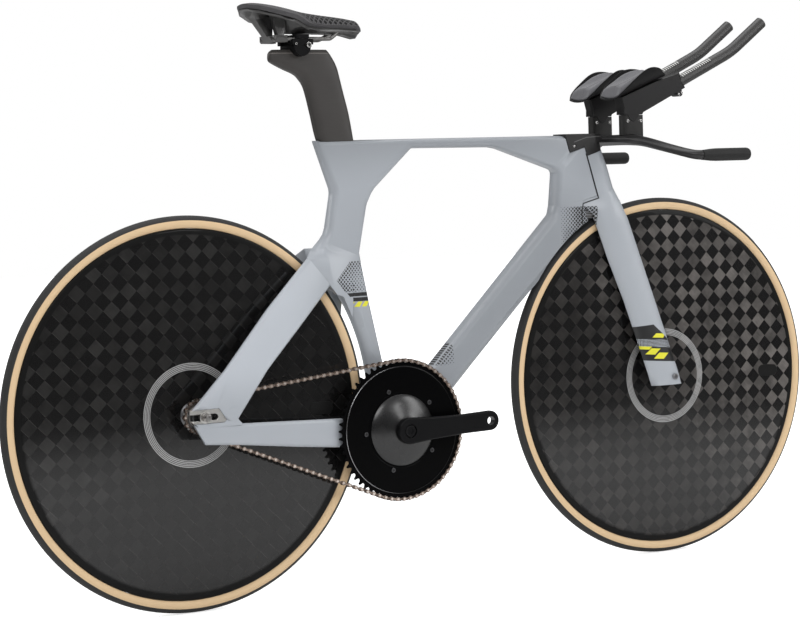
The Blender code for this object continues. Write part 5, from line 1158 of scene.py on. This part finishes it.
def formed(name, place, along, across):
    """A sheet: a grid whose points are put in place by share along (0-1) and across."""
    bm = bmesh.new()
    bmesh.ops.create_grid(bm, x_segments=along, y_segments=across, size=1)
    chart = bm.loops.layers.uv.new("chart")
    for face in bm.faces:
        for loop in face.loops:
            loop[chart].uv = ((loop.vert.co.x + 1) / 2, (loop.vert.co.y + 1) / 2)
    for v in bm.verts:
        v.co = place((v.co.x + 1) / 2, v.co.y)
    bmesh.ops.recalc_face_normals(bm, faces=bm.faces)
    if sum(f.normal.z for f in bm.faces) < 0:
        bmesh.ops.reverse_faces(bm, faces=bm.faces)
    return built(name, bm)


def thickened(obj, wall, rim=0.0):
    """Gives a sheet its thickness, below its face, and rolls its rim."""
    shell = obj.modifiers.new("wall", "SOLIDIFY")
    shell.thickness = wall
    shell.offset = -1
    if rim:
        roll = obj.modifiers.new("rim", "BEVEL")
        roll.width = rim
        roll.segments = 3
        roll.limit_method = "ANGLE"
        roll.angle_limit = radians(50)
    obj.data.shade_smooth()
    obj.modifiers.new("normals", "WEIGHTED_NORMAL").keep_sharp = True
    return obj


def saddle_cover():
    """Soft synthetic hide with a lattice of small holes along the middle and nose."""
    finish = Finish("saddle_cover", sheen_weight=0.02, specular_ior_level=0.15)
    vector, *_ = finish.place()
    chart = finish.node("ShaderNodeUVMap", {"uv_map": "chart"})
    share, side, _ = finish.split(chart)
    across = abs(side - 0.5) * 2
    u = share * (SADDLE_LENGTH / 0.0105)
    v = side * (0.074 / 0.0125)
    du, dv = abs((u + v) % 1.0 - 0.5), abs((u - v) % 1.0 - 0.5)
    hole = 1 - du.most(dv).step(0.33, 0.38)
    limit = 0.62 + share.step(0.30, 0.54) * 0.30
    band = (across < limit) * (share > 0.10) * (share < 0.975)
    edge = abs(across - limit - 0.05).step(0.006, 0.022)
    grain = finish.node("ShaderNodeTexVoronoi", {"feature": "DISTANCE_TO_EDGE"},
                        {"Vector": vector, "Scale": 900})
    hide = finish.mix(finish.noise(vector, 60, 3) * 0.6, (0.074, 0.072, 0.075),
                      (0.115, 0.112, 0.117))
    colour = finish.mix(hole * band, hide, 0.001)
    finish.surface(
        base_color=finish.mix((1 - edge) * 0.7, colour, 0.006),
        roughness=0.52 + grain * 0.3,
        normal=finish.bump(grain.step(0.0, 0.10) * 0.3 + edge * 0.8, 0.5, 0.0008),
    )
    return finish


obj = formed("saddle_padding", saddle_top, 72, 28)
thickened(obj, 0.0078, 0.0026)
settle(obj, saddle_cover(), "saddle", "satin_black", "saddle_pad")
shell_carbon = bare_carbon("shell_carbon", (0.030, 0.029, 0.029), (0.062, 0.060, 0.058))
shell_carbon.surface(coat_weight=0.7, coat_roughness=0.22)
shell = dressed("saddle_shell", shell_carbon, 45)
trims = []
for corners in (
    ((0.3388, 0.70), (0.3388, 0.6462), (0.3474, 0.6458), (0.3474, 0.6425),
     (0.3385, 0.6285), (0.3385, 0.60), (0.40, 0.60), (0.40, 0.70)),
    ((0.1130, 0.6900), (0.1430, 0.6640), (0.1790, 0.6150), (0.1790, 0.60), (0.05, 0.60),
     (0.05, 0.69)),
):
    trims.append(finished("shell_trim", slab(corners, -0.1, 0.2)))
shaded(carved(shell, *trims), 45)


def tube(name, points, radius, steps):
    """A round bar along the points, as a mesh."""
    line = bpy.data.curves.new(name, "CURVE")
    line.dimensions = "3D"
    line.bevel_depth = radius
    line.bevel_resolution = steps // 4
    line.use_fill_caps = True
    spline = line.splines.new("POLY")
    spline.points.add(len(points) - 1)
    for spot, point in zip(spline.points, points):
        spot.co = (*point, 1)
    source = linked(name + "_line", line)
    mesh = worked_out(source)
    bpy.data.objects.remove(source)
    return linked(name, mesh)


def rounded_path(points, parts=8):
    """The same path with a curve through its points."""
    path = []
    ends = [points[0], *points, points[-1]]
    for p, q, r, s in zip(ends, ends[1:], ends[2:], ends[3:]):
        for k in range(parts):
            t = k / parts
            path.append(0.5 * (
                2 * q + (r - p) * t + (2 * p - 5 * q + 4 * r - s) * t**2
                + (3 * q - p - 3 * r + s) * t**3
            ))
    return path + [points[-1]]


RAIL_Z, RAIL_Y = HEAD_TOP + 0.0175, 0.022
CLAMP_X = 0.226
bend, end = TAIL_X + 0.157, TAIL_X + 0.187
half = [
    (TAIL_X + 0.054, RAIL_Y, RAIL_Z), (CLAMP_X - 0.022, RAIL_Y, RAIL_Z),
    (CLAMP_X + 0.022, RAIL_Y, RAIL_Z), (bend - 0.010, RAIL_Y, RAIL_Z),
    (bend, 0.0190, RAIL_Z + 0.0015), (end - 0.013, 0.0125, RAIL_Z + 0.0115),
    (end - 0.003, 0.0055, RAIL_Z + 0.0150),
]
left = [Vector(p) for p in half]
right = [Vector((p[0], -p[1], p[2])) for p in half]
path = rounded_path(right + [Vector((end, 0, RAIL_Z + 0.0155))] + left[::-1])
rail_steel = machined("rail_steel", (0.22, 0.215, 0.21), 0.30, Vector())
obj = tube("saddle_rail", path, 0.0035, 20)
settle(shaded(obj, 60), rail_steel, "saddle", "steel", "saddle_rails")
dressed("saddle_cradle", anodised, 30, 0.0005, 1.0)
dressed("saddle_clamp", anodised, 30, 0.0006, 1.0)
outline = [
    (0.0, 0.0006), (0.0024, 0.0006), (0.0026, 0.0016), (0.0046, 0.0016), (0.0050, 0.0010),
    (0.0050, -0.0004), (0.0030, -0.0006), (0.0030, -0.0140), (0.0, -0.0140),
]
obj = turned("clamp_bolt", outline, (0, 0, 0), 32, closed=False)
obj.data.transform(
    Matrix.Translation((CLAMP_X, 0, RAIL_Z + 0.0074)) @ Matrix.Rotation(pi / 2, 4, "X")
)
settle(shaded(obj, 35), rail_steel, "saddle_head", "steel", "saddle_clamp_bolt")

# The stem and base bar: one-piece carbon wing in satin black, with rubber sleeves on
# its grips. The stem drops into the frame's notch and bolts to the fork's blade.
bar_black = satin_black("bar_black", (0.015, 0.0145, 0.015), 0.34)
stem_black = satin_black("stem_black", (0.012, 0.0115, 0.012), 0.34)
vector, x, y, z = stem_black.place()
# Painted highlight: a pale stroke along the stem's crease. The seam is a dark joint line.
crease = stroke(x, z, (0.7861, 0.4417), (0.8130, 0.4498), 0.0006)
crease = crease.most(stroke(x, z, (0.8130, 0.4498), (0.8500, 0.4516), 0.0006))
seam = stroke(x, z, (0.8520, 0.4560), (0.8524, 0.4340), 0.0005)
body = stem_black.shader.inputs["Base Color"].links[0].from_socket
lit = stem_black.mix(crease * 0.7, Value(stem_black, body), 0.16)
stem_black.surface(base_color=stem_black.mix(seam, lit, 0.001))
dressed("stem", stem_black, 32, 0.0007, 0.6, 3)


def softened(node, finish, fold=60.0):
    """A CAD node's facets turned back to four-sided ones and smoothed to a curve."""
    bm = cleaned_copy(node)
    bmesh.ops.join_triangles(
        bm, faces=bm.faces, angle_face_threshold=radians(25),
        angle_shape_threshold=radians(80),
    )
    crease = bm.edges.layers.float.new("crease_edge")
    for edge in bm.edges:
        if edge.calc_face_angle(0) > radians(fold):
            edge[crease] = 1.0
    obj = built(node + "_form", bm)
    smooth = obj.modifiers.new("smooth", "SUBSURF")
    smooth.levels = smooth.render_levels = 2
    obj.data.shade_smooth()
    return settle(obj, finish, body_of[node], slot_of[node], node)


softened("base_bar", bar_black)
low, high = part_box("grip_right")
GRIP_Z = (low.z + high.z) / 2
sleeve = [
    (0.0, low.x - 0.006), (0.0090, low.x - 0.006), (0.0098, low.x + 0.002),
    (0.0110, low.x + 0.014), (0.0115, low.x + 0.026), (0.0115, high.x - 0.0075),
    (0.0112, high.x - 0.0045), (0.0100, high.x - 0.0018), (0.0075, high.x - 0.0004),
    (0.0040, high.x), (0.0, high.x),
]
grip_finish = Finish("grip_rubber", roughness=0.60, specular_ior_level=0.25)
vector, x, y, z = grip_finish.place()
knurl = (abs(x * 700 % 1.0 - 0.5) + abs((y + z) * 500 % 1.0 - 0.5))
grip_finish.surface(
    base_color=grip_finish.mix(grip_finish.noise(vector, 300, 2), 0.014, 0.028),
    normal=grip_finish.bump(knurl, 0.25, 0.0003),
)
for side, word in SIDES:
    obj = turned(f"grip_sleeve_{word}", sleeve, (0, 0, 0), 48, closed=False)
    obj.data.transform(
        Matrix.Translation((0, side * 0.188, GRIP_Z)) @ Matrix.Rotation(-pi / 2, 4, "Z")
    )
    settle(shaded(obj, 50), grip_finish, "steering", "grip_rubber", f"grip_{word}")

# The arm rests: forged risers and brackets in satin black, each clamped by two small
# bolts, with moulded cups. Foam pads in knitted cloth sit in the cups.
bracket_black, riser_black, cup_black = (
    satin_black(name + "_black", colour, roughness, specular_ior_level=shine)
    for name, colour, roughness, shine in (
        ("bracket", (0.0065, 0.006, 0.0065), 0.36, 0.34),
        ("riser", (0.016, 0.0155, 0.015), 0.36, 0.34),
        ("cup", (0.0045, 0.0043, 0.0047), 0.34, 0.16),
    )
)
small_steel = brushed("small_bolt_steel", (0.66, 0.65, 0.64), 0.18)


def sloped(degrees):
    """The ways along and up from a slope of the side view."""
    a = radians(degrees)
    return Vector((cos(a), 0, sin(a))), Vector((-sin(a), 0, cos(a)))


ARM_Y = 0.049
MOUTH = Vector((1.006996, 0, 0.55))
AHEAD, ABOVE = sloped(24.5)
CUP_REAR = MOUTH - Vector((0.1605, 0, 0.0348))
CUP_ALONG, CUP_UP = sloped(20)
CUP_LENGTH, CUP_HALF, CUP_RISE, CUP_WALL = 0.122, 0.040, 0.034, 0.0025
CUP_STATIONS = (
    (0.00, 0.72, 0.12), (0.10, 0.93, 0.36), (0.30, 1.00, 0.66), (0.62, 1.00, 0.94),
    (0.86, 0.84, 0.66), (1.00, 0.52, 0.08),
)


def screw(name, spot, side, radius, proud, finish, body="steering"):
    """A small cap screw in a side face, with a dark hexagon disc as painted shade for its
    socket.
    """
    x, y, z = spot
    head, pit = bmesh.new(), bmesh.new()
    drum(head, x, z, y - side * 0.002, y + side * proud, radius, 24)
    settle(shaded(finished(name, head), 40, 0.0004), finish, body, "steel")
    deep, over = y + side * (proud - 0.0002), y + side * (proud + 0.0001)
    # A dark hexagon disc, painted shade for the socket's recess.
    drum(pit, x, z, deep, over, 0.52 * radius, 6)
    settle(finished(name + "_socket", pit), socket_shade_black, body, "steel")


def cup_place(side, y, height):
    """Where a cup's sheet goes: by share of its length and across its trough."""
    corner = CUP_REAR + Vector((0, y, 0))

    def place(share, across):
        width, wall = between(CUP_STATIONS, share)
        reach, rise = CUP_HALF * width, CUP_RISE * wall
        slope = 2.4 * rise / reach * abs(across) ** 1.4
        lean = Vector((-slope if across > 0 else slope, 1.0)).normalized()
        over = across * reach + lean.x * height
        up = rise * abs(across) ** 2.4 + lean.y * height
        return (corner + CUP_ALONG * (share * CUP_LENGTH)
                + Vector((0, side * over, 0)) + CUP_UP * up)

    return place


def pad_place(side, y):
    """The cushion's face: deep over the trough, bevelled at the rear, with two seams."""

    def place(share, across):
        rear, front = min(1.0, share / 0.10), min(1.0, (1 - share) / 0.10)
        rim = min(front, (1 - abs(across)) / 0.10, 1.0)
        lift = sqrt(max(0.0, 1 - (1 - rim) ** 2)) * rear
        seam = min(abs(abs(across) - 0.38) / 0.05, 1.0)
        edge = min(abs(share - 0.115) / 0.02, 1.0)
        deep = 0.0185 * (1 - 0.60 * abs(across) ** 2.4) * (0.95 + 0.05 * seam * edge)
        lay = cup_place(side, y, CUP_WALL + 0.0009 + deep * lift)
        return lay(0.035 + 0.88 * share, 0.91 * across)

    return place


KNIT_STEP = 0.0011


def pad_cloth():
    """Knitted cloth over firm foam: a fine mesh, pale dust and pressed seams."""
    finish = Finish("pad_cloth", sheen_weight=0.25, sheen_roughness=0.5)
    vector, x, y, z = finish.place()
    along = (x * CUP_ALONG.x + z * CUP_ALONG.z) / KNIT_STEP
    over = y / KNIT_STEP
    knit = abs(along % 1.0 - 0.5) + abs(over % 1.0 - 0.5)
    cloud = finish.noise(vector, 50, 3)
    chart = finish.node("ShaderNodeUVMap", {"uv_map": "chart"})
    share, side, _ = finish.split(chart)
    across = abs(side - 0.5) * 2
    seam = abs(across - 0.40).least(abs(share - 0.115) * 2.2 + (across > 0.40))
    seam = (1 - seam.step(0.010, 0.045)) * (share > 0.11)
    colour = finish.mix(knit * 0.5 + cloud * 0.4, (0.085, 0.085, 0.093),
                        (0.145, 0.144, 0.156))
    finish.surface(
        base_color=finish.mix(seam * 0.8, colour, (0.006, 0.006, 0.007)),
        roughness=0.85,
        normal=finish.bump(knit, 0.35, 0.0004),
    )
    return finish


cloth = pad_cloth()
TONGUE = ((0.8775, 0.4905), (0.9045, 0.4905), (0.9022, 0.4850), (0.8975, 0.4795),
          (0.8935, 0.4765), (0.8895, 0.4765), (0.8850, 0.4795), (0.8800, 0.4850))
for side, word in SIDES:
    y = side * ARM_Y
    riser = dressed(f"riser_{word}", riser_black, 32, 0.0010, 0.8, 3)
    for v in riser.data.vertices:
        v.co.x += 0.0055 if v.co.x > 0.895 else 0.0
    dressed(f"arm_bracket_{word}", bracket_black, 32, 0.0030, 0.8, 4)
    faces = ((-side, "inner"), (side, "outer"))
    for out, face in sorted(faces):
        obj = finished(f"bracket_tongue_{word}_{face}",
                       slab(TONGUE, y + out * 0.0105, out * 0.0014))
        settle(shaded(obj, 40, 0.0004), bracket_black, "steering", "satin_black")
    for out, face in sorted(faces):
        for k, x in enumerate((0.8782, 0.9080)):
            screw(f"riser_screw_{word}_{k}_{face}", (x, y + out * 0.0110, 0.4778),
                  out, 0.0030, 0.0010, small_steel)
        for k, (x, z) in enumerate(((0.9970, 0.5256), (1.0038, 0.5287))):
            screw(f"clamp_screw_{word}_{k}_{face}", (x, y + out * 0.0100, z),
                  out, 0.0024, 0.0008, small_steel)
    obj = formed(f"cup_shell_{word}", cup_place(side, y, CUP_WALL), 48, 32)
    thickened(obj, CUP_WALL - 0.0001, 0.0009)
    settle(obj, cup_black, "steering", "satin_black", f"arm_cup_{word}")
    obj = formed(f"arm_cushion_{word}", pad_place(side, y), 72, 52)
    thickened(obj, 0.0032)
    settle(obj, cloth, "steering", "foam", f"arm_pad_{word}")

for side in (-1, 1):
    for name, x, z, radius, proud in (
        ("bolt", 0.2370, 0.6171, 0.0050, 0.0024), ("pin", 0.2130, 0.6190, 0.0022, 0.0010),
    ):
        screw(f"cradle_{name}_{side}", (x, side * 0.0280, z), side, radius, proud,
              small_steel, "saddle_head")

# The metal inside: the spindle, the front axle, the steerer and its screw, and the
# headset's two bearings. The pieces round them cover all or most of each.
bearing_steel = brushed("bearing_steel", (0.42, 0.41, 0.40), 0.28)
for node in ("crank_spindle", "front_axle", "steerer", "stem_screw"):
    dressed(node, small_steel, 40)
for node in ("headset_lower_bearing", "headset_upper_bearing"):
    dressed(node, bearing_steel, 40)

# The extensions: bent carbon tubes that slide in the brackets' clamps, with a printed
# scale of short white marks on top for setting both sides alike.
def extension_finish(y):
    """Lacquered tube, fibres wound round it, and the scale near the clamp."""
    side = "right" if y < 0 else "left"
    finish = Finish(f"extension_lacquer_{side}", specular_ior_level=0.5)
    _, x, dy, z = finish.place((MOUTH.x, y, MOUTH.z))
    along = x * AHEAD.x + z * AHEAD.z
    above = x * ABOVE.x + z * ABOVE.z
    wound = finish.noise(finish.join(along * 9, dy * 70, above * 70), 1.0, 1)
    tick = (along % 0.005) < 0.0018
    stripe = (abs(dy) < 0.0088) * (above > 0) * (along > 0.004) * (along < 0.078)
    colour = finish.mix(wound, (0.026, 0.0255, 0.0255), (0.056, 0.055, 0.054))
    finish.surface(
        base_color=finish.mix(tick * stripe, colour, (0.62, 0.62, 0.60)),
        roughness=0.36 + wound * 0.06,
    )
    return finish


TIP_WAY, _ = sloped(36.3)
INSERTED, STRAIGHT, TIP_LENGTH, BEND_REACH = 0.092, 0.225, 0.0925, 0.020
for side, word in SIDES:
    y = side * ARM_Y
    mouth = MOUTH + Vector((0, y, 0))
    bend = mouth + AHEAD * (STRAIGHT - INSERTED)
    enter, leave = bend - AHEAD * BEND_REACH, bend + TIP_WAY * BEND_REACH
    path = [mouth - AHEAD * INSERTED, enter]
    for k in range(1, 20):
        t = k / 20
        path.append(enter * (1 - t) ** 2 + bend * 2 * t * (1 - t) + leave * t**2)
    path += [leave, bend + TIP_WAY * TIP_LENGTH]
    obj = tube(f"extension_tube_{word}", path, 0.0111, 48)
    obj.data.shade_smooth()
    obj.data.set_sharp_from_angle(angle=radians(50))
    settle(obj, extension_finish(y), f"extension_{word}", "black_carbon",
           f"extension_{word}")
